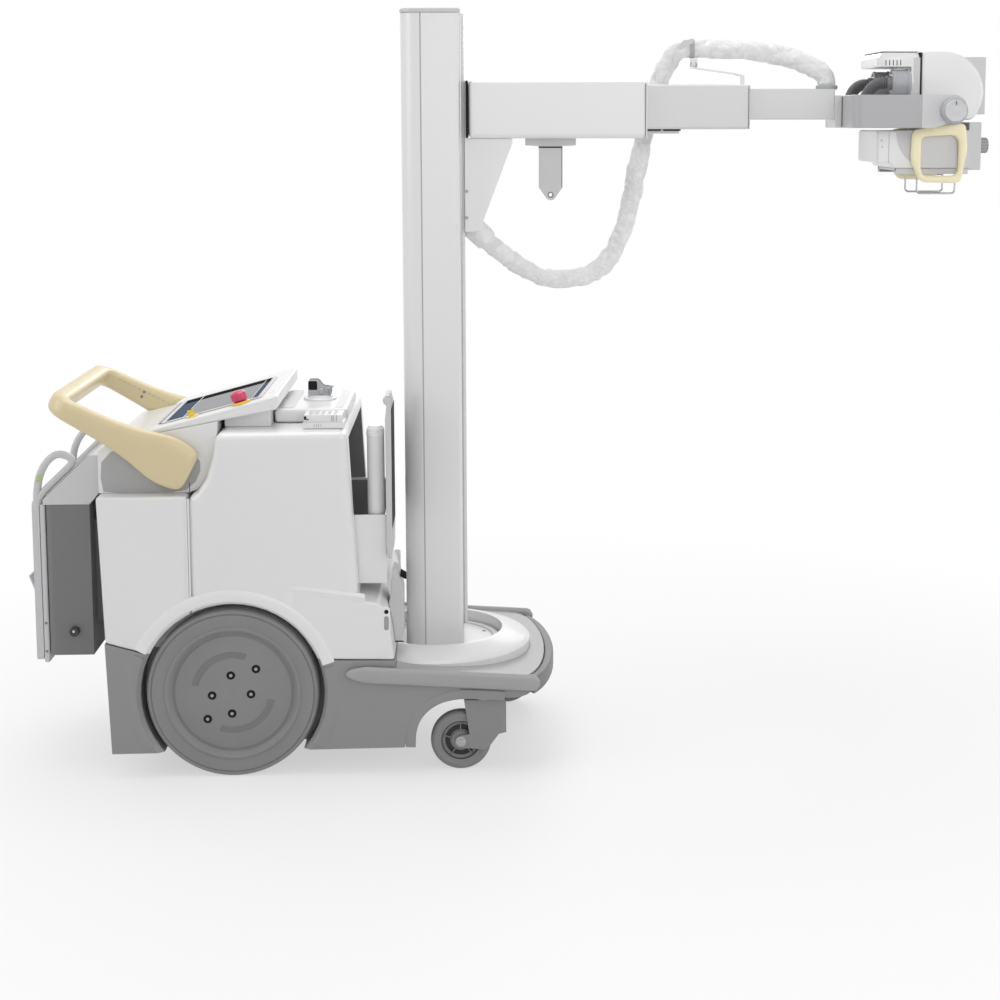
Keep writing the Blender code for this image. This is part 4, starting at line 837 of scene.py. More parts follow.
driveSettings = {
    "x": -0.495,
    "z": 0.21,
    "inner": 0.225,  # y of the wheel's inner face
    "face": 0.0515,  # of the disc, out of the inner face
    "disc": [  # radius and height, from the hub to the tread
        (0.0215, 0.0505), (0.0225, 0.0515), (0.14, 0.0515), (0.1425, 0.0507), (0.1445, 0.0485),
        (0.148, 0.0481), (0.151, 0.0505), (0.156, 0.057), (0.1585, 0.0592), (0.162, 0.06),
        (0.165, 0.0596), (0.1668, 0.0574), (0.169, 0.057), (0.172, 0.0578), (0.196, 0.0588),
        (0.1975, 0.057), (0.199, 0.057), (0.2005, 0.0596), (0.203, 0.06), (0.2065, 0.0582),
        (0.2088, 0.054), (0.21, 0.049),
    ],
    "groove": [(0.21, 0.0022), (0.2078, 0.0014), (0.2078, -0.0014), (0.21, -0.0022)],
    "grooves": (0.038, 0.026, 0.014),  # round the tread
    "back": [
        (0.21, 0.013), (0.2082, 0.005), (0.203, 0.001), (0.198, 0), (0.162, 0), (0.159, 0.003),
        (0.15, 0.03), (0.05, 0.03), (0.046, 0.004), (0.044, 0.0002), (0.0215, 0.0002),
    ],
    "screws": (  # along and up from the wheel's centre
        (-0.0048, 0.0433), (0.0566, 0.0587), (-0.0513, -0.0067), (0.0433, -0.0048), (-0.0036, -0.053),
        (-0.0633, -0.066),
    ),
    "cup": [
        (0.0036, -0.0006), (0.0106, -0.0006), (0.0106, 0.0004), (0.0098, 0.001), (0.0074, 0.0006),
        (0.0036, 0.0016),
    ],
    "head": [(0.004, 0.0001), (0.004, 0.002), (0.0034, 0.0026), (0.0018, 0.0026), (0.0014, 0.0012)],
    "cap": [(0.0208, -0.004), (0.0208, -0.0001), (0.024, -0.0001), (0.0236, 0.0004), (0.001, 0.0005)],
    "slotShades": ((70, 168), (-110, -12)),  # raised darker arcs on the disc, painted shade for its recessed slots, in degrees
    "barRadii": (0.102, 0.087),
    "barRise": (-0.0008, 0.0012),
}


def driveWheel(side, sign, s):
    x, z, axis, body = s["x"], s["z"], outward[sign], f"wheel_{side}"
    tread = [(radius, middle + height) for middle in s["grooves"] for radius, height in s["groove"]]
    wheel = Shape().turn([*s["disc"], *tread, *s["back"]], (x, sign * s["inner"], z), axis, 128, True)
    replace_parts(wheel.make(f"driveWheel_{side}", "wheel_grey", body), f"drive_wheel_{side}")
    face = sign * (s["inner"] + s["face"])
    outer, inner = s["barRadii"]
    slotShades, cups, sockets, cap = Shape(), Shape(), Shape(), Shape()
    # painted shade: darker arcs where the disc has recessed slots
    for start, end in s["slotShades"]:
        outline = [*arc((x, z), outer, start, end, 26), *arc((x, z), inner, end, start, 26)]
        slotShades.prism(outline, "XZ", *sorted(face + sign * rise for rise in s["barRise"]))
    for u, v in s["screws"]:
        cups.turn(s["cup"], (x + u, face, z + v), axis, 24, True)
        sockets.turn(s["head"], (x + u, face, z + v), axis, 18)
    cap.turn(s["cap"], (x, face, z), axis)
    slotShades.make(f"wheelSlotShades_{side}", "wheelShade", body, 0.001, 3)
    cups.make(f"wheelCups_{side}", "blackSocket", body)
    sockets.make(f"wheelScrews_{side}", "keyGrey", body)
    cap.make(f"wheelCap_{side}", "wheel_grey", body)


for side, sign in sides:
    driveWheel(side, sign, driveSettings)


# Casters

casterSettings = {
    "pivotX": 0.1215,
    "trail": {"left": 0.06, "right": -0.06},
    "y": 0.25,
    "z": 0.075,
    "flank": [
        (0.0066, 0.017), (0.015, 0.017), (0.0165, 0.0155), (0.0225, 0.015), (0.026, 0.009),
        (0.04, 0.0075), (0.0455, 0.009), (0.0495, 0.015), (0.053, 0.016), (0.056, 0.0152),
        (0.0575, 0.0162), (0.064, 0.0165), (0.069, 0.015), (0.073, 0.0114), (0.0747, 0.007),
        (0.075, 0.004),
    ],
    "ribs": 5,
    "ribTurn": 20,  # degrees
    "ribHalf": 0.0016,
    "ribReach": (0.021, 0.048),
    "ribRise": (0.008, 0.0128),
    "shades": (
        [(0.0272, 0.008), (0.039, 0.008), (0.039, 0.0092), (0.0272, 0.0092)],
        [(0.0466, 0.0128), (0.049, 0.0128), (0.049, 0.014), (0.0466, 0.014)],
    ),
    "plate": 0.0256,  # outer face of the fork's cheeks, from the middle
    "washer": [(0.0125, 0.0), (0.0125, 0.001), (0.0115, 0.0016), (0.001, 0.0017)],
    "nut": [(0.0082, 0.0014), (0.0082, 0.0052), (0.007, 0.0062), (0.0036, 0.0062), (0.003, 0.004)],
    "cap": [(0.03, 0.0005), (0.03, 0.003), (0.026, 0.0046), (0.001, 0.0046)],
    "capZ": 0.1815,
}


def caster(side, sign, s):
    # wheel with its ribs, dark rings of painted shade for its grooves, axle bolt with its nut, and pivot
    # cap
    x, y, z = s["pivotX"] + s["trail"][side], sign * s["y"], s["z"]
    body, fork = f"caster_wheel_{side}", f"caster_{side}"
    profile = [*s["flank"], *[(radius, -height) for radius, height in reversed(s["flank"])]]
    wheel = Shape().turn(profile, (x, y, z), "Y", 72, True).make(f"casterWheel_{side}", "wheel_grey", body)
    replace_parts(wheel, f"caster_wheel_{side}")
    ribs, dark, bolt = Shape(), Shape(), Shape()
    for face, axis in outward.items():
        for i in range(s["ribs"]):
            angle = math.radians(360 / s["ribs"] * i + s["ribTurn"])
            along = Vector((math.cos(angle), math.sin(angle)))
            across = Vector((-along.y, along.x)) * s["ribHalf"]
            near, far = (Vector((x, z)) + along * reach for reach in s["ribReach"])
            outline = [tuple(p) for p in (near - across, far - across, far + across, near + across)]
            ribs.prism(outline, "XZ", *sorted(y + face * rise for rise in s["ribRise"]))
        # dark rings of painted shade where the grooves are
        for ring in s["shades"]:
            dark.turn(ring, (x, y, z), axis, 60, True)
        bolt.turn(s["washer"], (x, y + face * s["plate"], z), axis)
        bolt.turn(s["nut"], (x, y + face * s["plate"], z), axis, 6)
    ribs.make(f"casterRibs_{side}", "wheelShade", body, 0.0006)
    dark.make(f"casterShades_{side}", "seamDark", body)
    bolt.make(f"casterBolt_{side}", "galvanised", fork, 0.0003)
    cap = Shape().turn(s["cap"], (s["pivotX"], y, s["capZ"]), "Z", 40)
    cap.make(f"casterCap_{side}", "galvanised", fork)


for side, sign in sides:
    caster(side, sign, casterSettings)
print("wheels and casters turned")


# Base, body and deck

bodySettings = {
    "face": 0.288,  # y of the body's side
    "ridge": [
        (-0.375, 0, 0.4708), (-0.34, 0, 0.469), (-0.3, 0, 0.4655), (-0.24, 0, 0.457), (-0.19, 0, 0.4498),
        (-0.17, 0, 0.4465),
    ],
    "ridgeSection": [  # up and out
        (0.01, -0.001), (0.01, 0.0006), (0.006, 0.0014), (0.0026, 0.0026), (0.0008, 0.0028),
        (-0.0008, 0.0024), (-0.004, 0.0014), (-0.009, 0.0006), (-0.009, -0.001),
    ],
    "ridgeLift": 0.0012,
    "ridgeFade": 0.05,
    "cover": [
        (-0.372, 0.287), (-0.372, 0.2896), (-0.3656, 0.2901), (-0.356, 0.2904), (-0.3464, 0.2901),
        (-0.34, 0.2896), (-0.34, 0.287),
    ],
    "coverZ": (0.413, 0.465),
    "wheelSpot": (-0.495, 0.21),
    "lipSection": [
        (0.2304, 0.288), (0.2306, 0.2906), (0.233, 0.292), (0.24, 0.2926), (0.25, 0.292), (0.26, 0.2904),
        (0.262, 0.289),
    ],
    "lips": (
        ("archLips", "trimWhite", ((17.5, 153.5),)),
        ("archLipsLow", "base_grey", ((-33, 15.5), (156.5, 213))),
    ),
    "casterArch": [
        (-0.0625, 0.069), (-0.06, 0.108), (-0.0475, 0.143), (-0.022, 0.172), (0.01, 0.1905),
        (0.045, 0.199), (0.0715, 0.201), (0.125, 0.1985), (0.17, 0.195),
    ],
    "archY": 0.2884,
    "archHalf": 0.0125,
    "archDepth": 0.0042,
}


def bodyTrim(s):
    # ridge along the foot, fading out to the rear, cover of the foot's seam, lips of the arches
    ridge, cover, arches = Shape(), Shape(), Shape()
    route = smoothRoute(s["ridge"], 0.006)
    for _, sign in sides:
        rings = []
        for point in route:
            rise = min(1.0, (point.x - route[0].x) / s["ridgeFade"])
            rings.append(ridge.ring([
                (point.x, sign * (s["face"] + s["ridgeLift"] * (out > 0) + out * rise), point.z + up)
                for up, out in s["ridgeSection"]
            ]))
        ridge.skin(rings)
        cover.prism([(u, sign * v) for u, v in s["cover"]], "XY", *s["coverZ"])
        arch = smoothRoute([(x, sign * s["archY"], z) for x, z in s["casterArch"]], 0.006)
        arches.strap(arch, s["archHalf"], s["archDepth"], 24, 2.4)
    ridge.make("bodyRidge", "trimWhite", "chassis", angle=70)
    cover.make("footSeamCover", "white", "chassis", angle=70)
    arches.make("casterArches", "base_grey", "chassis", angle=60)
    for name, finish, spans in s["lips"]:
        lip = Shape()
        for _, sign in sides:
            for start, end in spans:
                lip.sector(s["wheelSpot"], [(r, sign * y) for r, y in s["lipSection"]], start, end, 40)
        lip.make(name, finish, "chassis", angle=60)


bodyTrim(bodySettings)

bodyPieces = {
    "seamFiller": ("trimWhite", 0, ("blocks", (-0.598, 0.28, 0.43), (-0.589, 0.2893, 0.696))),
    "seamLine": ("shadeGrey", 0, ("blocks", (-0.5943, 0.289, 0.43), (-0.5927, 0.2896, 0.696))),
    # grey plates of painted shade in the pockets round the handle's ends
    "handlePocketShades": ("pocketGrey", 0, ("prisms", [
        (-0.8, 0.7075), (-0.77, 0.7045), (-0.7, 0.704), (-0.64, 0.7045), (-0.602, 0.71), (-0.578, 0.73),
        (-0.566, 0.756), (-0.566, 0.78), (-0.585, 0.805), (-0.64, 0.815), (-0.72, 0.814), (-0.78, 0.806),
        (-0.803, 0.78), (-0.806, 0.742),
    ], 0.2446, 0.24525)),
    "pocketSeams": ("seamDark", 0, ("blocks", (-0.594, 0.2445, 0.7045), (-0.5925, 0.2455, 0.73))),
    "latchPlates": ("trimWhite", 0.0006, (
        "prisms", roundBox((-0.1275, 0.36), (-0.1085, 0.424), 0.007), 0.2895, 0.291,
    )),
    "latchSlots": ("shadeGrey", 0, (
        "prisms", roundBox((-0.1238, 0.366), (-0.1122, 0.401), 0.005), 0.2905, 0.2914,
    )),
    "latchScrews": ("blackSocket", 0, (
        "turns", [(0.0052, 0.0), (0.0052, 0.0012), (0.004, 0.002), (0.0006, 0.002)],
        (-0.118, 0.2908, 0.412), 20,
    )),
}
assemble(bodyPieces, "chassis")

railSettings = {
    "rear": -0.2165, "front": 0.2565, "y": 0.29765, "slope": 0.064, "middle": 0.258, "from": -0.196,
    "half": 0.0205, "depth": 0.00735, "steps": 60,
    "tapers": (0.22, 0.16, 0.25, 0.05),  # rear end's share of the width and of the way, then the front's
}


def sideRail(side, sign, s):
    # rounded rub rail, drawn out thin at its rear end
    route = []
    for i in range(s["steps"]):
        x = s["rear"] + (s["front"] - s["rear"]) * i / (s["steps"] - 1)
        route.append((x, sign * s["y"], s["middle"] - s["slope"] * (x - s["from"])))

    rearShare, rearWay, frontShare, frontWay = s["tapers"]

    def half(t):
        rear, front = rearShare + (t / rearWay) ** 0.5, frontShare + ((1 - t) / frontWay) ** 0.5
        return s["half"] * min(1.0, rear, front)

    rail = Shape().strap(route, half, s["depth"], 28, 2.6)
    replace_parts(rail.make(f"sideRail_{side}", "railGrey", "chassis", angle=60), f"side_rail_{side}")


for side, sign in sides:
    sideRail(side, sign, railSettings)

deckScrew = [(0.0045, 0.0), (0.0045, 0.0012), (0.0036, 0.002), (0.0006, 0.002)]
columnPieces = {
    "wellSeam": ("blackSocket", 0, (
        "turn", [(0.1555, 0.2606), (0.159, 0.2606), (0.159, 0.2618), (0.1555, 0.2618)],
        (0, 0, 0), "Z", 96, True,
    )),
    "turntableScrews": ("knurledGrey", 0, *(
        ("turn", deckScrew, (x, y, 0.2616), "Z", 18) for x, y in arc((0, 0), 0.128, 20, 340, 9) if x > 0.085
    )),
    "columnRails": ("chrome", 0.0006, ("blocks", (0.0675, 0.0455, 0.3125), (0.0708, 0.06, 1.8627))),
    "capPlate": ("white", 0, (
        "prism", roundBox((-0.03, -0.044), (0.03, 0.044), 0.01), "XY", 1.8762, 1.8768,
    )),
    "columnSeams": ("keyGrey", 0, ("blocks", (-0.0306, 0.088, 0.2635), (-0.0274, 0.09, 1.8637))),
    "turntableBead": ("deckGrey", 0, (
        "turn", [(0.14, 0.2612), (0.1445, 0.2612), (0.145, 0.2624), (0.1425, 0.2632), (0.1395, 0.2624)],
        (0, 0, 0), "Z", 96, True,
    )),
}
assemble(columnPieces, "column")
print("body, base and column trimmed")


# Console

consoleSettings = {
    "rear": -0.69,
    "rearTop": 0.8573,
    "tilt": 0.267,
    "key": (0.008, 0.026),
    "keyRows": (0.006, 0.017),
    "switch": (0.1065, -0.214, 0),
    "stop": (0.2301, -0.219, 0),
    "stopProfile": [  # radius, height and how deep the ribs are there
        (0.01, 0.007, 0), (0.0115, 0.008, 0), (0.0172, 0.0092, 0.3), (0.0188, 0.011, 1),
        (0.0192, 0.018, 1), (0.0188, 0.0225, 1), (0.0176, 0.0252, 0.5), (0.015, 0.0268, 0),
        (0.011, 0.0276, 0), (0.0095, 0.027, 0), (0.0008, 0.0266, 0),
    ],
    "ribs": 18,
    "ribDepth": 0.00045,
}


def consolePlace(s):
    # carries a shape that is drawn flat, with x along the slope, onto the console's sloping top
    slope = Matrix.Rotation(-math.atan(s["tilt"]), 4, "Y")
    offset = Matrix.Translation((axisX, 0, 0))
    return offset @ Matrix.Translation((s["rear"], 0, s["rearTop"])) @ slope @ offset.inverted()


def keyOutlines(s):
    # nine keys in each of two rows
    long, wide = s["key"]
    corners = [(u, -0.17 + i * 0.036) for u in s["keyRows"] for i in range(9)]
    return [roundBox((u, v), (u + long, v + wide), 0.002, 4) for u, v in corners]


onConsole = consolePlace(consoleSettings)
consolePieces = {
    "screenBezel": ("light_grey", 0.0007, (
        "border", roundBox((0.024, -0.202), (0.28, 0.149), 0.012, 6),
        roundBox((0.035, -0.191), (0.269, 0.138), 0.003, 6), "XY", 0.0004, 0.003,
    )),
    "screenRim": (
        "rimBlack", 0, ("block", (0.038, 0.075, 0.0017), (0.266, 0.136, 0.0026)),
        ("block", (0.038, -0.188, 0.0017), (0.04, 0.135, 0.0026)),
    ),
    "screenKeypad": (
        "screenBlue", 0, ("block", (0.041, -0.187, 0.0012), (0.079, 0.074, 0.0024)),
        ("block", (0.255, -0.187, 0.0012), (0.266, 0.074, 0.0024)),
    ),
    "screenBars": (
        "light_grey", 0, ("block", (0.08, -0.189, 0.0021), (0.083, 0.136, 0.0029)),
        ("block", (0.252, -0.189, 0.0021), (0.254, 0.136, 0.0029)),
    ),
    "consoleKeys": ("light_grey", 0.0005, *(
        ("prism", key, "XY", -0.0004, 0.0011) for key in keyOutlines(consoleSettings)
    )),
    "consolePads": (
        "white", 0.0004,
        ("prism", roundBox((0.002, -0.205), (0.03, 0.205), 0.006), "XY", -0.0006, 0.0005),
        ("prism", roundBox((0.286, -0.15), (0.308, 0.15), 0.006), "XY", -0.0006, 0.0007),
    ),
    "keySwitchRing": ("yellowPlastic", 0, (
        "turn", [(0.015, -0.0006), (0.015, 0.002), (0.0138, 0.0032), (0.0082, 0.0034), (0.0082, 0.0026),
                 (0.0006, 0.0026)],
        consoleSettings["switch"], "Z", 36,
    )),
    "keySwitch": (
        "yellowPlastic", 0.0005,
        ("turn", [(0.0074, 0.0024), (0.0074, 0.0085), (0.0062, 0.01), (0.0006, 0.01)],
         consoleSettings["switch"], "Z", 28),
        ("block", (0.0985, -0.2154, 0.0096), (0.1145, -0.2126, 0.018)),
    ),
    "keySwitchSlit": ("blackSocket", 0, ("block", (0.1015, -0.215, 0.0176), (0.1115, -0.213, 0.0188))),
    "stopButtonCollar": ("yellowPlastic", 0, (
        "turn", [(0.013, -0.0008), (0.0222, -0.0008), (0.0228, 0.004), (0.0212, 0.0062), (0.013, 0.0068)],
        consoleSettings["stop"], "Z", 40, True,
    )),
}
assemble(consolePieces, "chassis", onConsole)


def stopButton(s):
    # ribbed mushroom head of the emergency stop
    def rib(i, angle, height):
        return s["ribDepth"] * math.cos(s["ribs"] * angle)

    head = Shape().turn(s["stopProfile"], s["stop"], "Z", 72, wave=rib).shift(onConsole)
    head.make("stopButton", "red", "chassis", angle=50)


stopButton(consoleSettings)
print("console fitted")


# Push handle

handleSettings = {
    "pad": (-0.587, 0.7565), "corner": (-0.905, 0.925), "y": 0.2643, "thick": 0.019, "bend": 0.045,
    "widths": [  # distance from the pad's end, half width of the arm
        (0.0, 0.033), (0.003, 0.044), (0.008, 0.05), (0.016, 0.054), (0.03, 0.0575), (0.048, 0.0595),
        (0.065, 0.06), (0.088, 0.0575), (0.11, 0.052), (0.14, 0.044), (0.17, 0.038), (0.205, 0.033),
        (0.24, 0.03), (0.311, 0.026),
    ],
    "bendSteps": 12,
    "padThick": (0.66, 0.01),  # share of the thickness at the pad's end, and where it is full
    "barThick": 0.022,
    "barHalf": 0.024,
}


def pushHandle(s):
    # near arm, its bend and half the bar, then the same mirrored
    pad, corner = Vector(s["pad"]), Vector(s["corner"])
    along = (corner - pad).normalized()
    up = Vector((along.y, 0, -along.x))
    inward = Vector((along.x, 0, along.y))
    across = Vector((0, 1, 0))
    widths, (padShare, padWay) = s["widths"], s["padThick"]
    longest, narrowest = widths[-1]
    armLength = (corner - pad).length - s["bend"]
    rings = []

    def section(centre, side, thick, half):
        rings.append([centre + side * u + up * v for u, v in roundedSection(thick, half, 36, 3.2)])

    for t, half, _ in smoothRoute([(t, half, 0) for t, half in widths], 0.006):
        distance = t * armLength / longest
        spot = pad + along * distance
        thick = s["thick"] * min(1.0, padShare + (1 - padShare) * distance / padWay)
        section(Vector((spot.x, -s["y"], spot.y)), across, thick, half)
    bendStart = Vector((corner.x, -s["y"], corner.y)) - inward * s["bend"]
    for i in range(1, s["bendSteps"] + 1):
        share = i / s["bendSteps"]
        c, t = math.cos(share * math.pi / 2), math.sin(share * math.pi / 2)
        centre = bendStart + (inward * t + across * (1 - c)) * s["bend"]
        thick = s["thick"] + (s["barThick"] - s["thick"]) * share
        section(centre, across * c - inward * t, thick, narrowest + (s["barHalf"] - narrowest) * share)
    far = [[Vector((p.x, -p.y, p.z)) for p in ring] for ring in reversed(rings)]
    shape = Shape()
    shape.skin([shape.ring(ring) for ring in [*rings, *far]])
    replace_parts(shape.make("pushBar", "cream", "chassis", angle=60), "push_handle")


pushHandle(handleSettings)

buttonOutline = fillet([(-0.8965, 0.904), (-0.882, 0.8965), (-0.8755, 0.9085), (-0.89, 0.916)], 0.002, 4)
inwardScrew = [(0.004, 0.001), (0.004, -0.0006), (0.003, -0.0012), (0.0006, -0.0012)]
dashOutline = [(0, 0), (0.005, -0.0026), (0.0056, -0.0014), (0.0006, 0.0012)]


def shifted(outline, x, z):
    return [(u + x, v + z) for u, v in outline]


handlePieces = {
    "handleButtons": ("blackSocket", 0.0004, ("prisms", buttonOutline, 0.2463, 0.2437)),
    "handleScrews": ("knurledGrey", 0, *(
        ("turns", inwardScrew, (x, 0.2453, z), 18)
        for x, z in ((-0.789, 0.8765), (-0.796, 0.864), (-0.69, 0.825))
    )),
    "handleDashes": ("shadeGrey", 0, *(
        ("prisms", shifted(dashOutline, -0.868 + 0.19 * i / 15, 0.9185 - 0.0975 * i / 15), 0.2458, 0.2447)
        for i in range(16)
    )),
}
assemble(handlePieces, "chassis")


# Rear bin and detector

panelSettings = {
    "rear": -0.9841, "front": -0.9666, "half": 0.205, "low": 0.276, "high": 0.676, "corner": 0.012,
    "grip": [
        (-0.9725, 0.662), (-0.9735, 0.675), (-0.9725, 0.7), (-0.965, 0.738), (-0.948, 0.7705),
        (-0.9235, 0.7895), (-0.899, 0.787), (-0.8852, 0.7755), (-0.89, 0.763), (-0.915, 0.7385),
        (-0.942, 0.7125), (-0.96, 0.6935), (-0.97, 0.676), (-0.9725, 0.662),
    ],
    "gripY": 0.191,
    "gripHalf": 0.009,
    "gripDepth": 0.0118,
}


def detectorPanel(s):
    outline = roundBox((-s["half"], s["low"]), (s["half"], s["high"]), s["corner"], 6)
    slab = Shape().prism(outline, "YZ", s["rear"], s["front"])
    for _, sign in sides:
        route = smoothRoute([(x, sign * s["gripY"], z) for x, z in s["grip"]], 0.005)
        slab.strap(route, s["gripHalf"], s["gripDepth"], 20, 2.6)
    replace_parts(slab.make("detectorSlab", "light_grey", "chassis", 0.0035, 3, 50), "detector_panel")


detectorPanel(panelSettings)


def lidOutline(low, high, inset):
    # a slice over the bin's sloping lid
    first, last = Vector((-0.948, 0.688)), Vector((-0.843, 0.7885))
    along = (last - first).normalized()
    out = Vector((-along.y, along.x))
    first, last = first + along * inset, last - along * inset
    return [tuple(p) for p in (first + out * low, last + out * low, last + out * high, first + out * high)]


holderScrew = [(0.0034, -0.001), (0.0034, 0.0008), (0.0026, 0.0014), (0.0005, 0.0014)]
markOutline = [(-0.005, 0), (0.005, -0.0026), (0.0056, 0.0006), (-0.0044, 0.0032)]
binPieces = {
    "binKnob": ("dark", 0, (
        "turn", [(0.0118, 0.0), (0.0118, 0.012), (0.0108, 0.0142), (0.007, 0.0146), (0.0062, 0.0138),
                 (0.0006, 0.0138)],
        (-0.886, -0.2145, 0.353), "-Y", 28,
    )),
    "binKnobPin": ("light_grey", 0, (
        "turn", [(0.0034, 0.0), (0.0034, 0.0014), (0.0026, 0.002), (0.0004, 0.002)],
        (-0.887, -0.2283, 0.355), "-Y", 16,
    )),
    "lidGasket": ("seamDark", 0, ("prism", lidOutline(-0.0006, 0.0012, 0.004), "XZ", -0.1985, 0.1985)),
    "lidPlate": ("light_grey", 0.0008, ("prism", lidOutline(0.0012, 0.004, 0), "XZ", -0.202, 0.202)),
    "holderScrews": ("knurledGrey", 0, *(
        ("turns", holderScrew, (-0.9592, 0.2048, z), 16) for z in (0.3707, 0.299)
    )),
    "gripMarks": ("greenMark", 0, *(
        ("prisms", shifted(markOutline, -0.9672 + 0.0022 * i, 0.727 + 0.0062 * i), 0.2022, 0.2034)
        for i in range(3)
    )),
}
assemble(binPieces, "chassis")


# Arm dock, handset and the front recess

dockX, dockZ = -0.2955, 0.8933
dockProfile = [
    (0.0419, 0.0), (0.0419, 0.0036), (0.04, 0.0056), (0.033, 0.0062), (0.032, 0.01), (0.03, 0.0112),
    (0.0006, 0.0112),
]
cheekOutline = fillet([
    (dockX - 0.029, dockZ + 0.01), (dockX + 0.029, dockZ + 0.01), (dockX + 0.029, dockZ + 0.03),
    (dockX + 0.02, dockZ + 0.033), (dockX + 0.008, dockZ + 0.034), (dockX - 0.004, dockZ + 0.0505),
    (dockX - 0.029, dockZ + 0.0505),
], 0.006)
jawOutline = fillet([(-0.3235, 0.9193), (-0.3015, 0.9193), (-0.3015, 0.9418), (-0.3235, 0.9418)], 0.003, 4)
dockPieces = {
    # jaw that takes the arm's tongue while the machine is driven
    "dockCheeks": (
        "keyGrey", 0.001, ("prisms", cheekOutline, 0.0146, 0.0205),
        ("block", (-0.324, -0.0148, 0.9038), (-0.267, 0.0148, 0.9068)),
    ),
    "dockJaws": ("blackSocket", 0.0004, ("prisms", jawOutline, 0.0205, 0.0216)),
    "dockPin": (
        "chrome", 0,
        ("turn", [(0.0062, -0.024), (0.0072, -0.023), (0.0072, 0.023), (0.0062, 0.024)],
         (-0.2895, 0, 0.9158), "Y", 28),
        ("tube", [(-0.2715, -0.0225, 0.9073), (-0.27, -0.0225, 0.9233), (-0.2655, -0.0225, 0.9303),
                  (-0.2595, -0.0225, 0.9273)], 0.002, 12),
    ),
}
base = Shape().turn(dockProfile, (dockX, 0, dockZ), "Z", 56).make("dockBase", "trimWhite", "chassis")
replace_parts(base, "arm_dock")
assemble(dockPieces, "chassis")

handsetPieces = {
    "handsetLens": (
        "blackSocket", 0.0004, ("block", (-0.314, -0.2424, 0.88), (-0.3085, -0.2404, 0.888)),
        ("block", (-0.3085, -0.2424, 0.879), (-0.303, -0.2404, 0.8815)),
    ),
    "handsetSeams": (
        "shadeGrey", 0, ("block", (-0.318, -0.2463, 0.8736), (-0.2175, -0.2456, 0.8742)),
        *(("block", (x, -0.2418, 0.8755), (x + 0.0012, -0.2404, 0.8905)) for x in (-0.248, -0.244, -0.236)),
        *(("block", (-0.29 + 0.0055 * i, -0.2464, 0.8625), (-0.289 + 0.0055 * i, -0.2454, 0.87))
          for i in range(4)),
    ),
    "handsetKeys": ("light_grey", 0.0005, *(
        ("prism", roundBox((x, y), (x + 0.009, y + 0.01), 0.0024, 4), "XY", 0.8908, 0.8922)
        for x in (-0.304, -0.289, -0.274, -0.259, -0.244) for y in (-0.23, -0.212, -0.194)
    )),
    "coverPads": (
        "light_grey", 0.0005,
        ("prism", roundBox((-0.38, -0.14), (-0.348, 0.14), 0.008, 4), "XY", 0.8928, 0.8942),
        ("prism", roundBox((-0.248, -0.14), (-0.226, 0.14), 0.006, 4), "XY", 0.8928, 0.894),
    ),
}
assemble(handsetPieces, "chassis")

clipOutline = fillet([(-0.088, 0.478), (-0.072, 0.47), (-0.072, 0.488), (-0.086, 0.496)], 0.003, 4)
wallOutline = [(-0.269, 0.642), (-0.199, 0.642), (-0.208, 0.833), (-0.269, 0.833)]
frontPieces = {
    # dark sheets of painted shade lining the recess, the tray's rim, the grid's edge and the guard's clip
    "recessPaintedShade": (
        "wheelShade", 0, ("block", (-0.269, -0.227, 0.642), (-0.2665, 0.227, 0.833)),
        ("block", (-0.2575, -0.225, 0.57), (-0.256, 0.225, 0.636)),
        ("blocks", (-0.256, 0.224, 0.5), (-0.124, 0.2247, 0.634)),
        ("prisms", wallOutline, 0.2275, 0.23),
    ),
    "trayRim": ("trimWhite", 0.0008, (
        "border", roundBox((-0.2625, -0.2305), (-0.118, 0.2305), 0.004, 4),
        roundBox((-0.2575, -0.2255), (-0.123, 0.2255), 0.003, 4), "XY", 0.637, 0.6398,
    )),
    "gridEdge": ("blackSocket", 0, ("block", (-0.103, -0.244, 0.61), (-0.1022, -0.106, 0.905))),
    "guardClip": (
        "blackSocket", 0.0006, ("prism", clipOutline, "XZ", -0.2075, -0.198),
        ("block", (-0.101, -0.2062, 0.3105), (-0.0805, -0.2046, 0.3135)),
    ),
    "gridHook": ("light_grey", 0, (
        "tube", [(x, -0.234, z) for x, z in arc((-0.1105, 0.9245), 0.0105, -30, 250, 22)], 0.0024, 12,
    )),
    "tubeCollar": ("trimWhite", 0, (
        "turn", [(0.0217, 0.0), (0.0224, 0.0008), (0.0224, 0.01), (0.0217, 0.0108), (0.0205, 0.0108),
                 (0.0205, 0.0)],
        (-0.1445, -0.2, 0.833), "Z", 40, True,
    )),
}
assemble(frontPieces, "chassis")
print("handle, bin, top and front fitted")


# Carriage and arm

carriagePieces = {
    "armEndFrame": ("white", 0.0009, (
        "border", roundBox((-0.0746, 1.5574), (0.0746, 1.7006), 0.0056),
        roundBox((-0.0625, 1.5695), (0.0625, 1.6885), 0.004), "YZ", 0.5318, 0.5345,
    )),
    "carriageScrews": ("keyGrey", 0, *(
        ("turns", [(0.0042, -0.0006), (0.0042, 0.0012), (0.0034, 0.0018), (0.0006, 0.0018)],
         (0.0832, 0.055, z), 20)
        for z in (1.425, 1.359)
    )),
    "carriageSlit": ("blackSocket", 0, ("blocks", (0.0818, 0.056, 1.5585), (0.0876, 0.0742, 1.6995))),
    "dockTongueEdges": (
        "seamDark", 0, ("blocks", (0.2655, 0.01, 1.5325), (0.3255, 0.0108, 1.5362)),
        ("blocks", (0.3236, 0.01, 1.433), (0.3252, 0.0108, 1.534)),
    ),
    "dockTongueBush": ("knurledGrey", 0.0004, (
        "turn", [(0.0046, -0.0104), (0.0078, -0.0104), (0.0078, 0.0104), (0.0046, 0.0104)],
        (0.2955, 0, 1.414), "Y", 28, True,
    )),
}
assemble(carriagePieces, "carriage")

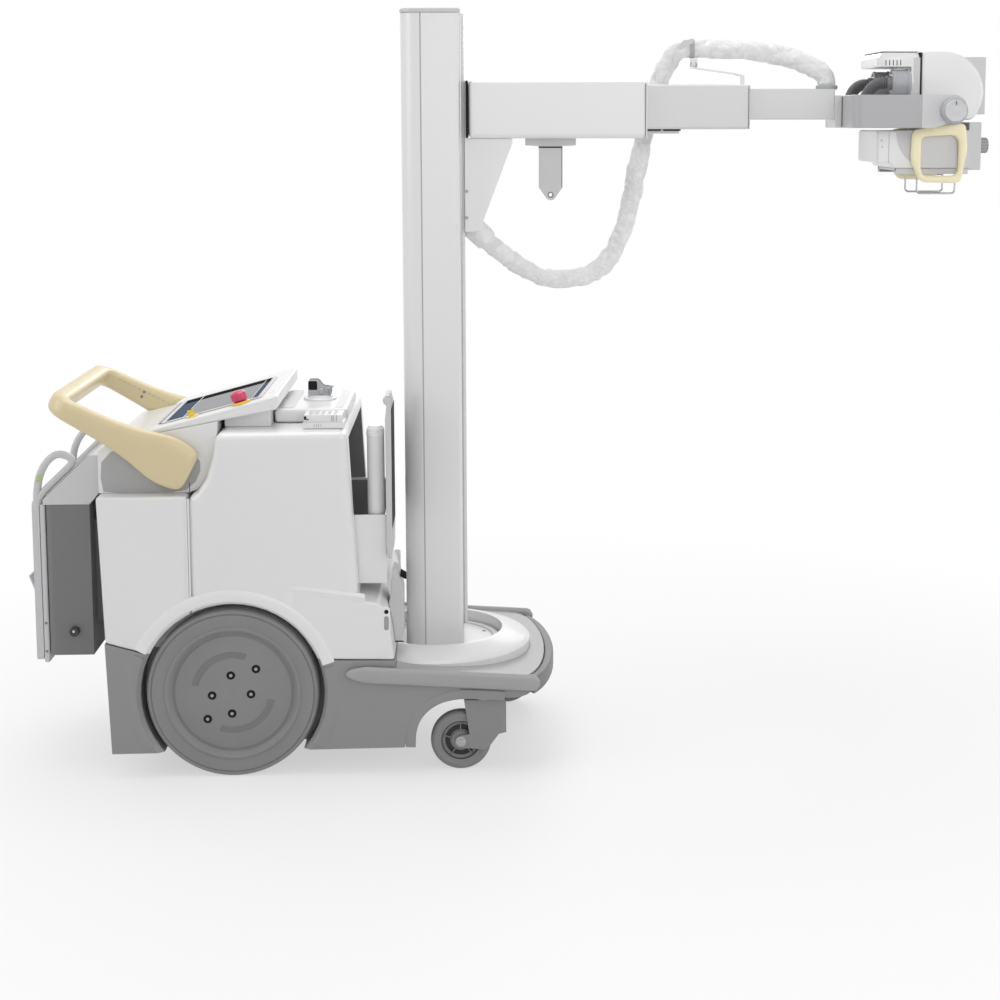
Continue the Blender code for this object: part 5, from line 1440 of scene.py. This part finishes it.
armPieces = {
    "armMidEndFrame": ("armGrey", 0.0008, (
        "border", roundBox((-0.0576, 1.5799), (0.0576, 1.6906), 0.0056),
        roundBox((-0.0455, 1.592), (0.0455, 1.6785), 0.004), "YZ", 0.7928, 0.795,
    )),
    "armSlideStrips": (
        "blackSocket", 0.0005, ("blocks", (0.54, 0.03, 1.5755), (0.571, 0.05, 1.5797)),
        ("blocks", (0.579, 0.03, 1.5755), (0.621, 0.05, 1.5797)),
    ),
}
assemble(armPieces, "arm_mid")
print("carriage and arm trimmed")


# Fork and tube head

tiltX, tiltZ, forkHalf = 1.276, 1.625, 0.19
noseOutline = [
    (1.1985, 1.583), (1.225, 1.5832), *arc((tiltX, 1.6304), 0.0342, -66, 90, 14), (1.1985, 1.6644),
]
forkPieces = {
    "forkEndPlates": ("light_grey", 0.0006, ("prisms", noseOutline, 0.1894, 0.1908)),
    "tiltKnobMarks": ("seamDark", 0, ("blocks", (1.2751, 0.2148, 1.6385), (1.2769, 0.2157, 1.6485))),
    "forkRearGasket": ("blackSocket", 0, ("block", (1.0286, -0.052, 1.586), (1.0302, 0.052, 1.662))),
}
assemble(forkPieces, "fork")

knobSettings = {
    "centre": (tiltX, forkHalf, tiltZ),
    "profile": [  # radius, height and how deep the finger grips are there
        (0.0262, 0.0195, 0), (0.0268, 0.02, 0.3), (0.027, 0.0212, 1), (0.0268, 0.024, 1),
        (0.0256, 0.0252, 0.4), (0.0225, 0.0254, 0), (0.021, 0.0249, 0), (0.007, 0.0249, 0),
        (0.006, 0.0252, 0), (0.0006, 0.0252, 0),
    ],
    "grips": 8,
    "gripDepth": 0.0016,
    "rim": [
        (0.0266, 0.0203), (0.0312, 0.0175), (0.0322, 0.015), (0.0322, 0.001), (0.035, 0.0002),
        (0.035, -0.0004), (0.0266, -0.0004),
    ],
}


def tiltKnobs(s):
    def grip(i, angle, height):
        return -s["gripDepth"] * max(0.0, math.cos(s["grips"] * angle)) ** 3

    knobs = Shape().turns(s["profile"], s["centre"], 96, wave=grip)
    knobs.make("tiltKnobs", "light_grey", "fork", angle=40)
    Shape().turns(s["rim"], s["centre"], 72, True).make("tiltKnobRims", "keyGrey", "fork", angle=40)


tiltKnobs(knobSettings)

headPieces = {
    "headSeam": ("seamDark", 0, ("block", (1.2104, -0.1196, 1.603), (1.2126, 0.1196, 1.7695))),
    "headBands": ("light_grey", 0.0006, ("blocks", (1.192, 0.1192, 1.604), (1.2085, 0.1206, 1.756))),
    "cableBoxLid": ("keyGrey", 0, (
        "prism", roundBox((1.115, -0.112), (1.208, 0.112), 0.008, 4), "XY", 1.7706, 1.7716,
    )),
    "cableBoxRear": ("light_grey", 0.0005, (
        "prism", roundBox((-0.1, 1.736), (0.1, 1.7565), 0.004), "YZ", 1.1068, 1.1084,
    )),
    "headVents": ("seamDark", 0, *(
        ("blocks", (1.1215 + 0.0092 * i, 0.1196, 1.737), (1.1235 + 0.0092 * i, 0.1204, 1.7505))
        for i in range(5)
    )),
}
assemble(headPieces, "head")

terminalSettings = {
    "x": 1.14, "y": 0.105, "z": 1.694,
    "drum": [
        (0.017, 0.0004), (0.029, -0.0006), (0.0324, 0.0006), (0.034, 0.003), (0.034, 0.0052),
        (0.0328, 0.0062), (0.0328, 0.036), (0.0346, 0.0372), (0.0346, 0.042), (0.0332, 0.044),
        (0.03, 0.0462), (0.017, 0.0462),
    ],
    "nut": [(0.0036, 0.0016), (0.0036, -0.0004), (0.0028, -0.0014), (0.0005, -0.0014)],
    "nutReach": 0.024,
    "collar": [(0.014, -0.012), (0.0172, -0.012), (0.018, -0.01), (0.018, 0.0014), (0.014, 0.0014)],
}


def cableTerminals(s):
    drums, collars = Shape(), Shape()
    for _, sign in sides:
        y = sign * s["y"]
        drums.turn(s["drum"], (s["x"], y, s["z"]), "X", 64, True)
        for u, v in arc((y, s["z"]), s["nutReach"], 90, 330, 3):
            collars.turn(s["nut"], (s["x"] - 0.001, u, v), "X", 16)
        collars.turn(s["collar"], (s["x"], y, s["z"]), "X", 40, True)
    drums.make("terminalDrums", "keyGrey", "head", angle=40)
    collars.make("terminalCollars", "knurledGrey", "head", angle=40)


cableTerminals(terminalSettings)
print("fork and head fitted")


# Collimator

gripSettings = {
    "outer": fillet([
        (1.1927, 1.5785), (1.3262, 1.5964), (1.3326, 1.5302), (1.3165, 1.4451), (1.2137, 1.4482),
        (1.1889, 1.5044),
    ], 0.016),
    "inner": fillet([
        (1.2152, 1.5608), (1.2971, 1.5656), (1.3102, 1.5528), (1.3102, 1.4757), (1.2987, 1.4644),
        (1.2248, 1.4644), (1.2152, 1.4739),
    ], 0.012),
    "centre": (1.2625, 1.514),
    "y": 0.11965,
    "depth": 0.00935,
}


def headGrip(side, sign, s):
    # moulded grip at one side of the collimator
    grip = Shape().loop(s["outer"], s["inner"], s["centre"], sign * s["y"], s["depth"], 120, 24, 2.6)
    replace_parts(grip.make(f"headGrip_{side}", "creamPale", "collimator", angle=60), f"head_handle_{side}")


for side, sign in sides:
    headGrip(side, sign, gripSettings)

sideOutline = [(1.15, 1.5765), *arc((1.242, 1.57), 0.087, 176, 262, 12), (1.34, 1.484), (1.34, 1.5765)]
bailLow, bailBend, bailRear, bailFront = 1.418, 0.009, 1.2217, 1.319
bailOutline = [
    (bailRear, 1.478), (bailRear, 1.44),
    *arc((bailRear + bailBend, bailLow + bailBend), bailBend, 180, 270, 8), (1.27, bailLow),
    *arc((bailFront - bailBend, bailLow + bailBend), bailBend, 270, 360, 8),
    (bailFront, 1.44), (bailFront, 1.478),
]
footProfile = [(0.0026, -0.006), (0.0048, -0.0056), (0.0052, -0.004), (0.0052, 0.0014), (0.0026, 0.0014)]
collimatorPieces = {
    "collimatorRearPlate": ("white", 0.0004, (
        "prism", roundBox((-0.106, 1.501), (0.106, 1.5745), 0.006), "YZ", 1.107, 1.1084,
    )),
    "collimatorSides": ("light_grey", 0, ("prisms", sideOutline, 0.1094, 0.1102)),
    "collimatorSeams": ("keyGrey", 0, ("blocks", (1.136, 0.1096, 1.497), (1.1374, 0.1103, 1.5768)), *(
        ("turns", [(0.002, 0.0), (0.002, 0.0004), (0.0004, 0.0004)], (x, 0.11, z), 14)
        for x, z in ((1.118, 1.552), (1.12, 1.536))
    )),
    "beamWindow": ("screen", 0, ("block", (1.2185, -0.0456, 1.479), (1.3215, 0.0456, 1.4818))),
    "bailFeet": ("keyGrey", 0, *(
        ("turn", footProfile, (x, y, 1.474), "Z", 20, True)
        for x in (bailRear, bailFront) for y in (0.06, -0.06)
    )),
    "beamPointer": ("knurledGrey", 0, (
        "turn", [(0.006, -0.0045), (0.0068, -0.003), (0.0068, 0.001), (0.001, 0.001)],
        (1.27, -0.093, 1.47), "Z", 24,
    )),
    "collimatorFrontPanel": ("light_grey", 0.0005, (
        "prism", roundBox((-0.088, 1.486), (0.088, 1.589), 0.006), "YZ", 1.3734, 1.375,
    )),
    "collimatorKeys": ("keyGrey", 0.0004, *(
        ("prism", roundBox((y - 0.007, z - 0.006), (y + 0.007, z + 0.006), 0.003, 4), "YZ", 1.3746, 1.3762)
        for y in (0.018, 0.04, 0.062) for z in (1.52, 1.545)
    )),
}
assemble(collimatorPieces, "collimator")

accessorySettings = {
    "rear": 1.158,
    "front": 1.341,
    "bailY": 0.06,
    "bailWire": 0.0024,
    "section": [
        (0.1, 1.468), (0.076, 1.468), (0.076, 1.4705), (0.088, 1.4705), (0.088, 1.4824), (0.1, 1.4824),
    ],
}


def accessoryRails(s):
    # two lipped rails, the plates between them and the wire bails below
    rails, wires = Shape(), Shape()
    for _, sign in sides:
        rails.prism([(sign * y, z) for y, z in s["section"]], "YZ", s["rear"], s["front"])
        wires.tube([(x, s["bailY"] * sign, z) for x, z in bailOutline], s["bailWire"], 14)
    rails.block((s["rear"], -0.0995, 1.476), (1.218, 0.0995, 1.4822))
    rails.block((1.322, -0.0995, 1.476), (s["front"], 0.0995, 1.4822))
    rails.blocks((1.218, 0.046, 1.4765), (1.322, 0.0995, 1.4822))
    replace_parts(rails.make("accessoryRails", "light_grey", "collimator", 0.0006), "accessory_rails")
    wires.make("wireBails", "chrome", "collimator", angle=60)


accessoryRails(accessorySettings)

selectorSettings = {
    "centre": (1.373, -0.02, 1.5385),
    "profile": [  # radius, height and how deep the teeth are there
        (0.01, 0.0004, 0), (0.01, 0.009, 0), (0.0188, 0.0098, 0.4), (0.0196, 0.0118, 1),
        (0.0196, 0.033, 1), (0.0184, 0.0366, 0.5), (0.016, 0.0372, 0), (0.015, 0.0366, 0),
        (0.0006, 0.0366, 0),
    ],
    "toothDepth": 0.0009,
}


def collimatorKnob(s):
    def tooth(i, angle, height):
        return -s["toothDepth"] * (i % 4 < 2)

    knob = Shape().turn(s["profile"], s["centre"], "X", 120, wave=tooth)
    knob.make("collimatorKnob", "knurledGrey", "collimator", angle=30)


collimatorKnob(selectorSettings)
print("collimator fitted")


# Floor, backdrop and lights

stageSettings = {
    "floorSize": 14.0,
    "floorColour": (0.86, 0.86, 0.86),
    "worldLight": 0.42,
    "lamps": (
        # name, place, aims at, width, height, watts
        ("topLight", (-0.6, 0.3, 4.4), (-0.1, 0.0, 0.7), 3.4, 2.4, 74.0),
        ("leftLight", (-4.4, -1.2, 2.4), (0.0, 0.0, 1.0), 2.2, 2.2, 38.0),
        ("frontLight", (0.9, -4.6, 2.2), (0.2, 0.0, 0.9), 3.0, 2.0, 33.0),
        ("rightLight", (4.2, -1.6, 2.2), (0.3, 0.0, 1.1), 2.0, 2.0, 30.0),
        ("headLight", (1.9, -2.3, 2.5), (1.05, 0.0, 1.6), 1.0, 0.8, 6.5),
        ("backLight", (0.4, 4.2, 2.6), (0.0, 0.0, 1.0), 2.6, 1.8, 34.0),
    ),
}
white = (1, 1, 1, 1)


def seenDirectly(tree):
    # 1 for rays from the camera or by way of gloss and glass
    rays = tree.nodes.new("ShaderNodeLightPath")
    kinds = ("Is Camera Ray", "Is Glossy Ray", "Is Transmission Ray")
    camera, gloss, glass = (Sock(tree, rays.outputs[kind]) for kind in kinds)
    return camera.larger(gloss).larger(glass)


def makeFloor(s):
    half = s["floorSize"] / 2
    mesh = bpy.data.meshes.new("floor")
    corners = [(-half, -half, 0), (half, -half, 0), (half, half, 0), (-half, half, 0)]
    mesh.from_pydata(corners, [], [(0, 1, 2, 3)])
    floor = bpy.data.objects.new("floor", mesh)
    scene.collection.objects.link(floor)
    paper = Finish("floorPaper", s["floorColour"], 0.55)
    paper.vary(paper.noise(1.2, 3.0), 0.985, 1.0)
    glow = paper.node("ShaderNodeEmission", None, {"Color": white, "Strength": 1.0})
    far = (paper.axis("X") ** 2.0 + paper.axis("Y") ** 2.0) ** 0.5
    fade = far.share(0.9, 2.3) * 0.45 + 0.55
    shader = Sock(paper.tree, paper.shader.outputs[0])
    both = paper.node("ShaderNodeMixShader", None, {0: seenDirectly(paper.tree) * fade, 1: shader, 2: glow})
    paper.tree.links.new(both.socket, paper.tree.nodes["Material Output"].inputs["Surface"])
    mesh.materials.append(paper.material)


def makeWorld(s):
    world = bpy.data.worlds.new("studio")
    scene.world = world
    world.use_nodes = True
    tree = world.node_tree
    light, backdrop = tree.nodes["Background"], tree.nodes.new("ShaderNodeBackground")
    for background, strength in ((light, s["worldLight"]), (backdrop, 1.0)):
        background.inputs["Color"].default_value = white
        background.inputs["Strength"].default_value = strength
    mix = tree.nodes.new("ShaderNodeMixShader")
    tree.links.new(seenDirectly(tree).socket, mix.inputs[0])
    tree.links.new(light.outputs[0], mix.inputs[1])
    tree.links.new(backdrop.outputs[0], mix.inputs[2])
    tree.links.new(mix.outputs[0], tree.nodes["World Output"].inputs["Surface"])


def makeLamps(s):
    for name, place, target, width, height, watts in s["lamps"]:
        data = bpy.data.lights.new(name, "AREA")
        data.shape = "RECTANGLE"
        data.size = width
        data.size_y = height
        data.energy = watts
        lamp = bpy.data.objects.new(name, data)
        scene.collection.objects.link(lamp)
        lamp.location = place
        lamp.rotation_euler = (Vector(target) - Vector(place)).to_track_quat("-Z", "Y").to_euler()


makeFloor(stageSettings)
makeWorld(stageSettings)
makeLamps(stageSettings)
scene.view_settings.view_transform = "Standard"
print("studio lit")
